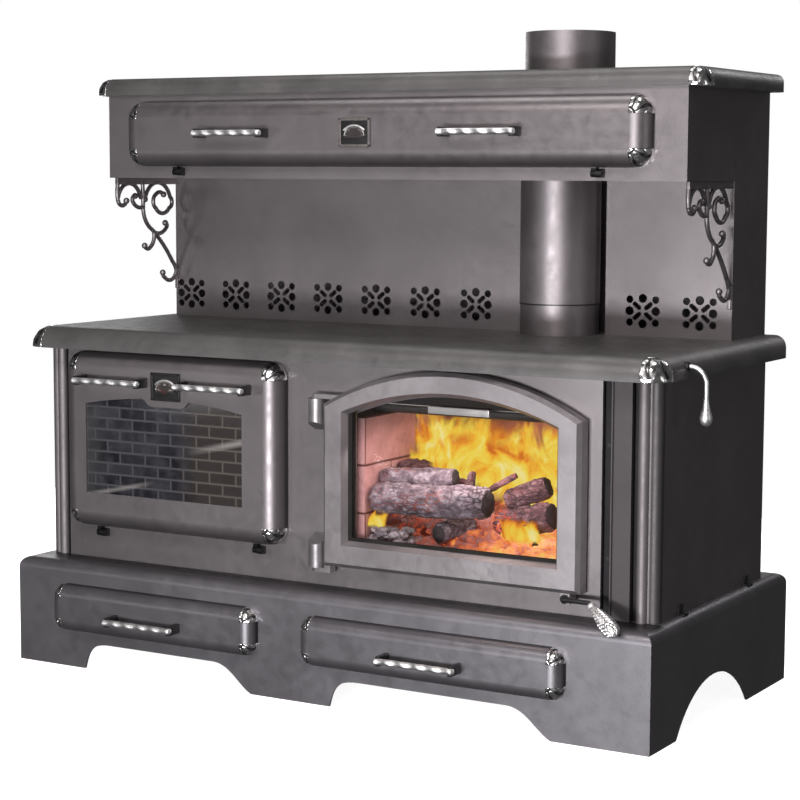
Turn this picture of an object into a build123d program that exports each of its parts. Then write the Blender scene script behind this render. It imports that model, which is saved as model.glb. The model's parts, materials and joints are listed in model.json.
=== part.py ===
from build123d import *
from math import asin, atan2, cos, degrees, pi, radians, sin, sqrt
import os

os.makedirs("parts", exist_ok=True)

# Wood cookstove with an oven, a firebox, two plinth drawers and a warming closet on a riser.
# Build frame, millimetres: x = 0 on the centreline, y = 0 on the plinth's front face, z = 0 on the floor,
# +Y towards the wall behind the stove, +Z up. save() moves every piece to the part's own origin.

# ---- plinth -------------------------------------------------------------------------------------------
PLINTH_WIDTH = 1686.0
PLINTH_DEPTH = 794.0
PLINTH_HEIGHT = 256.0
PLINTH_WALL = 5.0
PLINTH_EDGE_R = 24.0
ARCH_HEIGHT = 64.0
LEFT_ARCH = (-640.0, -154.0)
RIGHT_ARCH = (60.0, 615.0)
BACK_ARCH = (-600.0, 600.0)
ARCH_RISE_RUN = 80.0
ARCH_FALL_RUN = 108.0
SIDE_ARCH = (140.0, 550.0)
SIDE_ARCH_HEIGHT = 104.0

# ---- body ---------------------------------------------------------------------------------------------
BODY_WIDTH = 1626.0
BODY_FRONT = 91.0
BODY_BACK = 700.0
BODY_HEIGHT = 515.0
FACADE_T = 6.0
PANEL_T = 4.0
COLUMN_T = 18.0
COLUMN_SIDE_END = 122.0
COLUMN_LAP = 20.0
COLUMN_STANDOUT = 3.0
CORNER_W = 23.0
BEAD_W = 25.0
BEAD_RISE = 12.0
BEAD_STEP = 12.0
BAND_W = 48.0
BAND_TILT = 5.5
BAND_LIP = 4.0
BAND_STEP = 21.0
LEFT_STEP = 10.0
GROOVE_DEPTH = 15.0
CLIP_FRONT_Y = 219.0
CLIP_REAR_Y = 600.0
LOW_SCREW_RISE = 128.0
HIGH_SCREW_RISE = 371.0

# ---- cooktop ------------------------------------------------------------------------------------------
COOKTOP_OVERHANG = 32.0
COOKTOP_FRONT = 32.0
COOKTOP_BACK = 789.0
COOKTOP_EDGE_H = 50.0
COOKTOP_PLATE_T = 8.0
COOKTOP_EDGE_R = 44.0
COOKTOP_CORNER_R = 50.0
COOKTOP_RIM = 40.0
TRIM_SIZE = 54.0

# ---- riser and warming hood ---------------------------------------------------------------------------
HOOD_WIDTH = 1560.0
HOOD_FRONT = 292.0
HOOD_BACK = 778.0
RISER_FRONT = 567.0
RISER_HEIGHT = 360.0
HOOD_HEIGHT = 204.0
SHEET_T = 4.0
SLAB_OVERHANG = 45.0
SLAB_FRONT = 282.0
SLAB_BACK = 777.0
SLAB_H = 42.0
SLAB_PLATE_T = 6.0
SLAB_EDGE_R = 33.0
SLAB_CORNER_R = 38.0
SLAB_RIM = 45.0
SLAB_TRIM_SIZE = 42.0
CLOSET_DEPTH = 142.0
CLOSET_OPENING = (1380.0, 134.0)
CLOSET_SILL = 41.0
RECESS_DEPTH = 96.0
REAR_SLOT_DROP = 60.0

# ---- rosette perforations in the riser ----------------------------------------------------------------
ROSETTE_W = 100.0
ROSETTE_H = 82.0
ROSETTE_PITCH = 141.7
ROSETTE_RISE = 59.0
LEFT_ROSETTE_X = -730.0
LEFT_ROSETTE_COUNT = 7
RIGHT_ROSETTE_X = 560.0
RIGHT_ROSETTE_COUNT = 2

# ---- flue ---------------------------------------------------------------------------------------------
FLUE_X = 355.0
FLUE_Y = 549.0
SPIGOT_R = 93.1
SPIGOT_NECK_R = 92.3
SPIGOT_WALL = 5.0
SPIGOT_H = 72.0
SPIGOT_NECK_H = 42.0
PIPE_R = 94.6
PIPE_WALL = 2.0
OUTLET_R = 104.5
OUTLET_WALL = 2.5
OUTLET_H = 95.0
FLUE_SLOT = 220.0
PIPE_GAP = 0.9
OUTLET_SHIFT = 20.0
JOG_START = 30.0
JOG_H = 140.0

# ---- drop-down doors and drawer fronts, one family of pillowed panels -----------------------------------
DOOR_T = 45.0
DOOR_ROLL_R = 38.0
DOOR_CORNER_R = 40.0
DOOR_RIM = 28.0
DRAWER_T = 32.0
DRAWER_ROLL_R = 27.0
DRAWER_CORNER_R = 29.0
SKIN_T = 4.0
CAP_SIZE = 42.0
DRAWER_CAP_SIZE = 32.0
SEAL_T = 2.7
SEAL_W = 12.0
SEAL_GAP = 0.3

OVEN_DOOR = (-736.0, -110.0, 338.0, 765.0)
OVEN_OPENING = (514.0, 363.0)
OVEN_OPENING_SILL = 372.0
OVEN_DEPTH = 500.0
OVEN_WALL = 3.0
LINING_T = 12.0
BRICK_ROW = 37.0
BRICK_LENGTH = 80.0
MORTAR = 3.0
MORTAR_DEPTH = 2.0
RACK_WIRE_COUNT = 13
WINDOW = (-664.0, -207.0, 425.0, 641.0)
WINDOW_RISE = 22.0
WINDOW_DIP_W = 80.0
WINDOW_DIP_RUN = 38.0
WINDOW_DIP_Z = 644.0
GLASS_T = 4.0
GLASS_LAP = 11.0
LINER_T = 3.0

WARMING_DOOR = (-703.0, 703.0, 1210.0, 1368.0)
WARMING_DOOR_GAP = 0.5

# ---- hinges of the two drop-down doors ------------------------------------------------------------------
HINGE_DROP = 16.0
WARMING_HINGE_DROP = 13.0
HINGE_BACK = 11.0
HINGE_PIN_R = 4.0
HINGE_EAR_R = 8.0
HINGE_EAR_W = 12.0
HINGE_LUG_W = 14.0
HINGE_SIDE_GAP = 0.5
HINGE_FIT = 0.06
OVEN_HINGE_SPREAD = 230.0
WARMING_HINGE_SPREAD = 566.0

# ---- handles --------------------------------------------------------------------------------------------
HANDLE_LENGTH = 200.0
HANDLE_STANDOFF = 42.0
HANDLE_R = 7.0
HANDLE_LUMP = 2.2
HANDLE_LUMPS = 6
POST_W = 10.0
POST_H = 22.0
OVEN_HANDLE_SPREAD = 149.0
OVEN_HANDLE_Z = 700.0
WARMING_HANDLE_SPREAD = 336.0
WARMING_TRIM_X = -27.0
PLATE_W = 84.0
PLATE_H = 66.0
PLATE_T = 5.0
OVEN_PLATE_Z = 693.0

# ---- thermometer ----------------------------------------------------------------------------------------
DIAL_R = 27.0
DIAL_RIM = 3.5
DIAL_DROP = 12.0
NEEDLE_LENGTH = 20.0
NEEDLE_W = 3.0
NEEDLE_T = 1.2
NEEDLE_REST = 150.0

# ---- fire door ------------------------------------------------------------------------------------------
FIRE_CENTRE = 332.0
FIRE_DOOR_HALF = 322.0
FIRE_DOOR_BOTTOM = 310.0
FIRE_DOOR_CROWN = 766.0
FIRE_DOOR_ARCH_R = 640.0
FIRE_DOOR_FRONT = 46.0
FIRE_DOOR_T = 38.0
FIRE_GLASS_HALF = 259.0
FIRE_GLASS_BOTTOM = 373.0
FIRE_FRAME_TOP_W = 58.0
FIRE_GLASS_ARCH_R = 680.0
FIRE_GLASS_T = 5.0
FIRE_GLASS_LAP = 12.0
FIRE_GLASS_SEAT = 16.0
FRAME_BEVEL = 9.0
FRAME_SLOPE = 20.0
FRAME_SLOPE_DEPTH = 12.0
FIRE_SEAL_OFFSET = 20.0

# ---- fire door hinge and latch ----------------------------------------------------------------------------
FIRE_HINGE_X = -16.0
FIRE_HINGE_Y = 68.0
FIRE_LUG_R = 20.0
FIRE_LUG_H = 75.0
FIRE_LUG_TAPER = 22.0
UPPER_LUG_TOP = 689.7
LOWER_LUG_BOTTOM = 303.0
FIRE_EAR_T = 10.0
FIRE_EAR_R = 11.0
UPPER_EAR_REACH = 46.0
LOWER_EAR_REACH = 16.0
FIRE_PIN_R = 5.0
FIRE_PIN_L = 40.0
RUNNING_GAP = 0.3
LATCH_X = 622.0
LATCH_Z = 299.0
LATCH_BOSS = 10.5
LATCH_SHAFT_R = 5.0
LATCH_LEVER_Y = 38.0
LATCH_REACH = 60.0
LATCH_GRIP_END = (776.0, -28.0, 253.0)
LATCH_GRIP_L = 115.0
LATCH_GRIP_R = 18.0
LATCH_NECK = 8.0
LATCH_BLADE_L = 45.0
LATCH_BLADE_W = 14.0
LATCH_BLADE_T = 3.0
LATCH_BLADE_ANGLE = 150.0
LATCH_STOP_T = 6.0
LATCH_STOP_H = 10.0

# ---- firebox ----------------------------------------------------------------------------------------------
FIREBOX_HALF = 277.0
FIREBOX_DEPTH = 463.0
FIREBOX_FLOOR = 316.0
FIREBOX_TOP = 736.0
FIREBOX_WALL = 5.0
FIREBRICK_T = 32.0
FIREBRICK_L = 229.0
FIREBRICK_H = 110.0
FIREBRICK_COURSES = 3
BRICK_JOINT = 1.0
BAFFLE_T = 25.0
TUBE_GAP = 0.2
AIR_TUBE_R = 13.0
AIR_TUBES = 3
GRATE_W = 200.0
GRATE_D = 200.0
GRATE_T = 18.0
GRATE_SLOT = 12.0
GRATE_SLOTS = 7
CHUTE_WALL = 3.0
RETAINER_T = 12.0
RETAINER_H = 52.0

# ---- drawers ------------------------------------------------------------------------------------------------
STORAGE_FRONT = (-721.0, -133.0, 92.0, 205.0)
ASH_FRONT = (-8.0, 650.0, 92.0, 205.0)
DRAWER_HANDLE_Z = 140.0
DRAWER_GAP = 0.4
DRAWER_BOX_DEPTH = 520.0
DRAWER_BOX_H = 84.0
DRAWER_BOX_WALL = 2.0
DRAWER_INSET = 20.0
DRAWER_CLEAR = 4.0
DRAWER_TRAVEL = 450.0
RUNNER_W = 28.0
RUNNER_T = 3.0

# ---- damper -------------------------------------------------------------------------------------------------
DAMPER_Y = 170.0
DAMPER_BELOW_TOP = 24.0
DAMPER_ROD_R = 5.0
DAMPER_BEND_R = 38.0
DAMPER_DROP = 30.0
DAMPER_GRIP_L = 56.0
DAMPER_GRIP_R = 13.5
DAMPER_INSET = 159.0
DAMPER_FLAP_W = 90.0
DAMPER_FLAP_H = 46.0
DAMPER_FLAP_T = 3.0
DAMPER_SLEEVE_R = 8.0

# ---- scroll brackets ----------------------------------------------------------------------------------
BRACKET_T = 4.0
BRACKET_STROKE = 9.0
BRACKET_TOP = 18.0
BRACKET_REACH = 256.0
BRACKET_FOOT_DROP = 272.0
BRACKET_FOOT_H = 34.0
BRACKET_FOOT_T = 8.0

# ---- sizes that follow from the ones above ------------------------------------------------------------
BODY_BASE = PLINTH_HEIGHT
FIRE_GLASS_CROWN = FIRE_DOOR_CROWN - FIRE_FRAME_TOP_W
BODY_TOP = BODY_BASE + BODY_HEIGHT
BEAD_OUTER = BODY_WIDTH / 2 - CORNER_W
BEAD_INNER = BEAD_OUTER - BEAD_W
BAND_OUTER = BEAD_INNER - BEAD_STEP
BAND_INNER = BAND_OUTER - BAND_W
FACADE_RIGHT = BAND_INNER - BAND_STEP
FACADE_LEFT = -(BEAD_INNER - LEFT_STEP)
COOKTOP_WIDTH = BODY_WIDTH + 2 * COOKTOP_OVERHANG
SLAB_WIDTH = HOOD_WIDTH + 2 * SLAB_OVERHANG
DAMPER_INNER_X = COOKTOP_WIDTH / 2 - DAMPER_INSET
COOKTOP_TOP = BODY_TOP + COOKTOP_EDGE_H
HOOD_BASE = COOKTOP_TOP + RISER_HEIGHT
HOOD_TOP = HOOD_BASE + HOOD_HEIGHT
SLAB_TOP = HOOD_TOP + SLAB_H
FACADE_BACK = BODY_FRONT + FACADE_T
DAMPER_Z = COOKTOP_TOP - DAMPER_BELOW_TOP
TUBE_Z = FIREBOX_FLOOR + FIREBRICK_COURSES * FIREBRICK_H + 4.0 + AIR_TUBE_R
BAFFLE_Z = TUBE_Z + AIR_TUBE_R + TUBE_GAP
OUTLET_X = FLUE_X + OUTLET_SHIFT
CRANK_X = COOKTOP_WIDTH / 2 + DAMPER_BEND_R + 1.0
DOOR_BACK = BODY_FRONT - SEAL_T - SEAL_GAP
WARMING_BACK = HOOD_FRONT - WARMING_DOOR_GAP

# The part's origin is the centre of its bounding box, on the floor.
FRONT_REACH = -(DRAWER_GAP + DRAWER_T + HANDLE_STANDOFF + HANDLE_R + HANDLE_LUMP)
SIDE_REACH = CRANK_X + DAMPER_GRIP_R
ORIGIN_X = (SIDE_REACH - PLINTH_WIDTH / 2) / 2
ORIGIN_Y = (FRONT_REACH + PLINTH_DEPTH) / 2


def save(shape, name):
    """Write one node, moved from the build frame to the part's origin."""
    export_step(Pos(-ORIGIN_X, -ORIGIN_Y, 0) * shape, f"parts/{name}.step")


def block(x0, x1, y0, y1, z0, z1):
    """Box between two corners."""
    return Pos((x0 + x1) / 2, (y0 + y1) / 2, (z0 + z1) / 2) * Box(x1 - x0, y1 - y0, z1 - z0)


def plate_xz(face, y0, y1):
    """Prism of a face drawn in X and Z, filling y0 to y1."""
    return extrude(Plane.XZ.offset(-y1) * face, y1 - y0)


def plate_yz(face, x0, x1):
    """Prism of a face drawn in Y and Z, filling x0 to x1."""
    return extrude(Plane.YZ.offset(x0) * face, x1 - x0)


def bar_x(x0, x1, y, z, r):
    """Round bar along X."""
    return Pos((x0 + x1) / 2, y, z) * Rot(0, 90, 0) * Cylinder(r, x1 - x0)


def bar_y(y0, y1, x, z, r):
    """Round bar along Y."""
    return Pos(x, (y0 + y1) / 2, z) * Rot(90, 0, 0) * Cylinder(r, y1 - y0)


def bar_z(z0, z1, x, y, r):
    """Round bar along Z."""
    return Pos(x, y, (z0 + z1) / 2) * Cylinder(r, z1 - z0)


def tube_z(z0, z1, x, y, outer, inner):
    """Round tube along Z."""
    return bar_z(z0, z1, x, y, outer) - bar_z(z0 - 1, z1 + 1, x, y, inner)


def mirrored(shape):
    """The same piece on the other side of the centreline."""
    return mirror(shape, about=Plane.YZ)


def group(solids):
    """Separate solids kept in one node."""
    return Compound(children=[item for item in solids])


def arched_face(half_width, bottom, crown, arch_r, grow=0.0):
    """Opening with straight sides and a segmental arch, about the fire door's centre, grown all round."""
    half = half_width + grow
    top = crown + grow
    radius = arch_r + grow
    shoulder = top - radius + sqrt(radius**2 - half**2)
    left = FIRE_CENTRE - half
    right = FIRE_CENTRE + half
    sides = Polyline((left, shoulder), (left, bottom - grow), (right, bottom - grow), (right, shoulder))
    arch = ThreePointArc((right, shoulder), (FIRE_CENTRE, top), (left, shoulder))
    return make_face(sides + arch)


def pillow(outline, back, thickness, roll_r, corner_r):
    """Panel with rolled front edges: outline is (left, right, bottom, top), back is its rear plane."""
    left, right, bottom, top = outline
    panel = block(left, right, back - thickness, back, bottom, top)
    panel = fillet(panel.edges().filter_by(Axis.Y), corner_r)
    front_edges = panel.faces().sort_by(Axis.Y)[0].outer_wire().edges()
    return fillet(front_edges, roll_r)


def corner_blocks(outline, back, thickness, size):
    """The four corners of a panel, where its chrome caps sit."""
    left, right, bottom, top = outline
    spans_x = ((left - 1, left + size), (right - size, right + 1))
    spans_z = ((bottom - 1, bottom + size), (top - size, top + 1))
    return [
        block(x0, x1, back - thickness - 1, back + 1, z0, z1)
        for x0, x1 in spans_x
        for z0, z1 in spans_z
    ]


def split_caps(panel, outline, back, thickness, size):
    """Cut a pillowed panel into its sheet and its four corner caps."""
    corners = corner_blocks(outline, back, thickness, size)
    caps = [panel & corner for corner in corners]
    for corner in corners:
        panel = panel - corner
    return panel, caps


def handle(centre_x, face_y, centre_z):
    """Knobbly round bar on two flat posts, standing off a face that looks towards -Y."""
    half = HANDLE_LENGTH / 2
    axis_y = face_y - HANDLE_STANDOFF
    steps = 4 * HANDLE_LUMPS
    profile = [(-half, HANDLE_R * 0.55)]
    for step in range(1, steps):
        along = -half + HANDLE_LENGTH * step / steps
        swell = sin(2 * pi * HANDLE_LUMPS * step / steps)
        profile.append((along, HANDLE_R + HANDLE_LUMP * swell))
    profile.append((half, HANDLE_R * 0.55))
    outline = Spline(*profile) + Polyline(profile[-1], (half, 0), (-half, 0), profile[0])
    bar = Pos(centre_x, axis_y, centre_z) * revolve(make_face(outline), Axis.X)
    posts = []
    for side in (-1, 1):
        post_x = centre_x + side * (half - POST_W)
        posts.append(
            block(
                post_x - POST_W / 2,
                post_x + POST_W / 2,
                axis_y,
                face_y,
                centre_z - POST_H / 2,
                centre_z + POST_H / 2,
            )
        )
    return bar + posts[0] + posts[1]


def pear(length, radius, neck):
    """Pear-shaped grip along -Z, its neck at the origin."""
    outline = Spline(
        (neck, 0),
        (neck * 1.25, -0.25 * length),
        (radius * 0.93, -0.6 * length),
        (radius, -0.74 * length),
        (radius * 0.7, -0.93 * length),
        (0, -length),
        tangents=((0, -1), (-1, 0)),
    )
    closing = Polyline((0, -length), (0, 0), (neck, 0))
    return revolve(Plane.XZ * make_face(outline + closing), Axis.Z)


def rosette(centre_x, centre_z):
    """Perforation of four large holes, four small ones and a cross of slots, as one cutting sketch."""
    holes = Sketch()
    half_w = ROSETTE_W / 2
    half_h = ROSETTE_H / 2
    large = 0.255 * half_h
    small = 0.215 * half_h
    petal_l = 0.34 * half_h
    petal_w = 0.27 * half_h
    for turn in range(4):
        angle = radians(90 * turn)
        place = (0.66 * half_w * cos(angle), 0.72 * half_h * sin(angle))
        holes += Pos(*place) * Circle(large)
        angle += radians(45)
        place = (0.92 * half_w * cos(angle), 0.92 * half_h * sin(angle))
        holes += Pos(*place) * Circle(small)
        middle = (0.41 * half_w * cos(angle), 0.41 * half_h * sin(angle))
        lean = degrees(atan2(middle[1], middle[0]))
        holes += Pos(*middle) * Rot(0, 0, lean) * SlotCenterToCenter(petal_l, petal_w)
    return Pos(centre_x, centre_z) * holes


# ---- plinth ---------------------------------------------------------------------------------------------
def arch_face(start, end):
    """Cut-out between two feet: a quick rise, a flat top and a slower S-shaped fall."""
    low = -1.0
    top = ARCH_HEIGHT
    rise_end = start + ARCH_RISE_RUN
    fall_start = end - ARCH_FALL_RUN
    rise = Bezier(
        (start, 0),
        (start + 0.15 * ARCH_RISE_RUN, 0.8 * top),
        (start + 0.3 * ARCH_RISE_RUN, top),
        (rise_end, top),
    )
    fall = Bezier(
        (fall_start, top),
        (end - 0.55 * ARCH_FALL_RUN, top),
        (end - 0.35 * ARCH_FALL_RUN, 0.3 * top),
        (end, 0),
    )
    crest = Line((rise_end, top), (fall_start, top))
    below = Polyline((end, 0), (end, low), (start, low), (start, 0))
    return make_face(rise + crest + fall + below)


def side_arch_face():
    """Cut-out in a side wall: one segmental arch."""
    start, end = SIDE_ARCH
    crest = ((start + end) / 2, SIDE_ARCH_HEIGHT)
    below = Polyline((end, 0), (end, -1), (start, -1), (start, 0))
    return make_face(ThreePointArc((start, 0), crest, (end, 0)) + below)


def drawer_hole(front):
    """Opening in the plinth's front wall for one drawer box: (x0, x1, z0, z1)."""
    left, right, bottom, top = front
    inset = DRAWER_INSET - DRAWER_CLEAR
    box_bottom = bottom + DRAWER_INSET / 2
    return (left + inset, right - inset, box_bottom - DRAWER_CLEAR, box_bottom + DRAWER_BOX_H + DRAWER_CLEAR)


def make_plinth():
    half = PLINTH_WIDTH / 2
    shell = block(-half, half, 0, PLINTH_DEPTH, 0, PLINTH_HEIGHT)
    shell = fillet(shell.faces().sort_by(Axis.Z)[-1].edges(), PLINTH_EDGE_R)
    wall = PLINTH_WALL
    inner = block(-half + wall, half - wall, wall, PLINTH_DEPTH - wall, -1, PLINTH_HEIGHT - wall)
    inner = fillet(inner.faces().sort_by(Axis.Z)[-1].edges(), PLINTH_EDGE_R - wall)
    shell = shell - inner
    for start, end in (LEFT_ARCH, RIGHT_ARCH):
        shell = shell - plate_xz(arch_face(start, end), -1, wall + 1)
    back_arch = arch_face(BACK_ARCH[0], BACK_ARCH[1])
    shell = shell - plate_xz(back_arch, PLINTH_DEPTH - wall - 1, PLINTH_DEPTH + 1)
    shell = shell - plate_yz(side_arch_face(), -half - 1, half + 1)
    for front in (STORAGE_FRONT, ASH_FRONT):
        x0, x1, z0, z1 = drawer_hole(front)
        shell = shell - block(x0, x1, -1, wall + 1, z0, z1)
    chute = ash_hole()
    return shell - block(chute[0], chute[1], chute[2], chute[3], PLINTH_HEIGHT - wall - 1, PLINTH_HEIGHT + 1)


def ash_hole():
    """Plan of the ash chute: (x0, x1, y0, y1)."""
    mid_y = FACADE_BACK + FIREBOX_DEPTH / 2
    return (
        FIRE_CENTRE - GRATE_W / 2,
        FIRE_CENTRE + GRATE_W / 2,
        mid_y - GRATE_D / 2,
        mid_y + GRATE_D / 2,
    )


def make_runners():
    """Angle rails that carry the drawer boxes, from the front wall to the back wall."""
    rails = []
    for front in (STORAGE_FRONT, ASH_FRONT):
        x0, x1, z0, z1 = drawer_hole(front)
        seat = front[2] + DRAWER_INSET / 2 - RUNNING_GAP
        for edge, inward in ((x0, 1), (x1, -1)):
            web = sorted((edge - inward * RUNNER_T, edge))
            flange = sorted((edge - inward * RUNNER_T, edge + inward * RUNNER_W))
            ends = (PLINTH_WALL, PLINTH_DEPTH - PLINTH_WALL)
            rail = block(*flange, *ends, seat - RUNNER_T, seat)
            rail = rail + block(*web, *ends, seat - RUNNER_T, seat + RUNNER_W)
            rails.append(rail)
    return group(rails)


# ---- body -----------------------------------------------------------------------------------------------
def oven_hole():
    """Oven opening, centred behind its door: (x0, x1, z0, z1)."""
    centre = (OVEN_DOOR[0] + OVEN_DOOR[1]) / 2
    width, height = OVEN_OPENING
    return (centre - width / 2, centre + width / 2, OVEN_OPENING_SILL, OVEN_OPENING_SILL + height)


def make_facade():
    plate = block(FACADE_LEFT, FACADE_RIGHT, BODY_FRONT, FACADE_BACK, BODY_BASE, BODY_TOP)
    x0, x1, z0, z1 = oven_hole()
    plate = plate - block(x0, x1, BODY_FRONT - 1, FACADE_BACK + 1, z0, z1)
    fire_hole = arched_face(FIRE_GLASS_HALF, FIRE_GLASS_BOTTOM, FIRE_GLASS_CROWN, FIRE_GLASS_ARCH_R)
    return plate - plate_xz(fire_hole, BODY_FRONT - 1, FACADE_BACK + 1)


def column_face(inner_edge, with_band):
    """Section of the right-hand corner column, from its lap behind the facade round to the side panel."""
    half = BODY_WIDTH / 2
    ground = FACADE_BACK
    floor = BODY_FRONT + GROOVE_DEPTH
    crest = BODY_FRONT - COLUMN_STANDOUT
    back = ground + COLUMN_T
    lap_end = inner_edge + COLUMN_LAP
    turns = [(inner_edge, back), (inner_edge, ground), (lap_end, ground), (lap_end, floor)]
    if with_band:
        # the band's face leans towards the oven side, behind a narrow lip
        turns += [
            (BAND_INNER, floor),
            (BAND_INNER, crest + 1),
            (BAND_INNER + 1, crest),
            (BAND_INNER + BAND_LIP - 1, crest),
            (BAND_INNER + BAND_LIP, crest + 1),
            (BAND_INNER + BAND_LIP, crest + BAND_TILT),
            (BAND_OUTER, crest),
            (BAND_OUTER, floor),
        ]
    turns += [(BEAD_INNER, floor), (BEAD_INNER, ground)]
    front = Polyline(*turns)
    bead_mid = (BEAD_INNER + BEAD_OUTER) / 2
    bead = ThreePointArc((BEAD_INNER, ground), (bead_mid, ground - BEAD_RISE), (BEAD_OUTER, ground))
    corner_start = (BEAD_OUTER + 4, ground)
    corner_end = (half, COLUMN_SIDE_END - 6)
    step = Line((BEAD_OUTER, ground), corner_start)
    corner = ThreePointArc(corner_start, (half - 4.5, ground + 1.5), corner_end)
    rear = Polyline(
        corner_end,
        (half, COLUMN_SIDE_END),
        (half - COLUMN_T, COLUMN_SIDE_END),
        (half - COLUMN_T, back),
        (inner_edge, back),
    )
    return make_face(front + bead + step + corner + rear)


def make_column(inner_edge, with_band):
    return extrude(Pos(0, 0, BODY_BASE) * column_face(inner_edge, with_band), BODY_HEIGHT)


def make_side_panel():
    half = BODY_WIDTH / 2
    return block(half - PANEL_T, half, COLUMN_SIDE_END, BODY_BACK - PANEL_T, BODY_BASE, BODY_TOP)


def make_back_cover():
    """Rear sheet with two rows of cooling slots."""
    half = BODY_WIDTH / 2
    sheet = block(-half, half, BODY_BACK - PANEL_T, BODY_BACK, BODY_BASE, BODY_TOP)
    slot_w = 80.0
    slot_h = 8.0
    columns = 12
    for row_z in (BODY_BASE + 60.0, BODY_TOP - 60.0):
        for index in range(columns):
            x = -half + BODY_WIDTH * (index + 0.5) / columns
            cutter = block(
                x - slot_w / 2,
                x + slot_w / 2,
                BODY_BACK - PANEL_T - 1,
                BODY_BACK + 1,
                row_z - slot_h / 2,
                row_z + slot_h / 2,
            )
            sheet = sheet - cutter
    return sheet


def make_fasteners():
    """Facade screws in the recess beside the right column, and clips at the foot of the side panels."""
    pieces = []
    screw_x = (FACADE_RIGHT + BAND_INNER) / 2
    groove = BODY_FRONT + GROOVE_DEPTH
    for screw_z in (BODY_BASE + LOW_SCREW_RISE, BODY_BASE + HIGH_SCREW_RISE):
        pieces.append(bar_y(groove - 3.0, groove, screw_x, screw_z, 4.5))
    half = BODY_WIDTH / 2
    for clip_y in (CLIP_FRONT_Y, CLIP_REAR_Y):
        foot = block(half, half + 16, clip_y - 11, clip_y + 11, BODY_BASE, BODY_BASE + 3)
        back = block(half, half + 3, clip_y - 11, clip_y + 11, BODY_BASE, BODY_BASE + 22)
        clip = foot + back
        pieces.append(clip)
        pieces.append(mirrored(clip))
    return group(pieces)


# ---- cooktop --------------------------------------------------------------------------------------------
def rounded_slab(outline, corner_r, edge_r):
    """Slab with rounded plan corners and a rolled top edge at its front and sides: (x half, y0, y1, z0, z1)."""
    half, y0, y1, z0, z1 = outline
    slab = block(-half, half, y0, y1 + edge_r, z0, z1)
    slab = fillet(slab.edges().filter_by(Axis.Z).sort_by(Axis.Y)[:2], corner_r)
    rolled = slab.faces().sort_by(Axis.Z)[-1].edges().sort_by(Axis.Y)[:-1]
    slab = fillet(rolled, edge_r)
    plan = block(-half, half, y0, y1, z0, z1)
    plan = fillet(plan.edges().filter_by(Axis.Z).sort_by(Axis.Y)[-2:], corner_r)
    return slab & plan


def front_corner_blocks(outline, size):
    """The two front corners of a slab, where its chrome trims sit."""
    half, y0, y1, z0, z1 = outline
    return [
        block(half - size, half + 1, y0 - 1, y0 + size, z0 - 1, z1 + 1),
        block(-half - 1, -half + size, y0 - 1, y0 + size, z0 - 1, z1 + 1),
    ]


def make_cooktop():
    """Cast top with a hollow underside, its two corner trims, and the lug that carries the damper rod."""
    outline = (COOKTOP_WIDTH / 2, COOKTOP_FRONT, COOKTOP_BACK, BODY_TOP, COOKTOP_TOP)
    top = rounded_slab(outline, COOKTOP_CORNER_R, COOKTOP_EDGE_R)
    corners = front_corner_blocks(outline, TRIM_SIZE)
    trims = [top & corner for corner in corners]
    for corner in corners:
        top = top - corner
    half = COOKTOP_WIDTH / 2 - COOKTOP_RIM
    plate_under = COOKTOP_TOP - COOKTOP_PLATE_T
    hollow_front = FACADE_BACK + COLUMN_T + 3.0
    top = top - block(-half, half, hollow_front, BODY_BACK - 10.0, BODY_TOP - 1, plate_under)
    lug = block(
        DAMPER_INNER_X,
        DAMPER_INNER_X + 8.0,
        DAMPER_Y - 14.0,
        DAMPER_Y + 14.0,
        DAMPER_Z - 14.0,
        plate_under,
    )
    top = top + lug
    top = top - bar_x(DAMPER_INNER_X - 1, COOKTOP_WIDTH / 2 + 1, DAMPER_Y, DAMPER_Z, DAMPER_ROD_R + HINGE_FIT)
    flue_hole = bar_z(BODY_TOP, COOKTOP_TOP + 1, FLUE_X, FLUE_Y, SPIGOT_R - SPIGOT_WALL)
    return top - flue_hole, trims


# ---- riser and hood -------------------------------------------------------------------------------------
def riser_panel(x0, x1, first_x, count):
    """Front sheet of the riser with its row of rosettes."""
    panel = block(x0, x1, RISER_FRONT, RISER_FRONT + SHEET_T, COOKTOP_TOP, HOOD_BASE)
    for index in range(count):
        cutter = rosette(first_x + index * ROSETTE_PITCH, COOKTOP_TOP + ROSETTE_RISE)
        panel = panel - plate_xz(cutter, RISER_FRONT - 1, RISER_FRONT + SHEET_T + 1)
    return panel


def make_riser_panels():
    inner = HOOD_WIDTH / 2 - SHEET_T
    left = riser_panel(-inner, FLUE_X - FLUE_SLOT / 2, LEFT_ROSETTE_X, LEFT_ROSETTE_COUNT)
    right = riser_panel(FLUE_X + FLUE_SLOT / 2, inner, RIGHT_ROSETTE_X, RIGHT_ROSETTE_COUNT)
    return left, right


def make_pipe_recess():
    """Channel behind the flue pipe, closing the slot between the riser panels."""
    x0 = FLUE_X - FLUE_SLOT / 2
    x1 = FLUE_X + FLUE_SLOT / 2
    y0 = RISER_FRONT
    y1 = RISER_FRONT + RECESS_DEPTH
    channel = block(x0, x1, y0 + SHEET_T, y1, COOKTOP_TOP, HOOD_BASE)
    bore = block(x0 + 1.5, x1 - 1.5, y0, y1 - 1.5, COOKTOP_TOP - 1, HOOD_BASE + 1)
    return channel - bore


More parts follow.
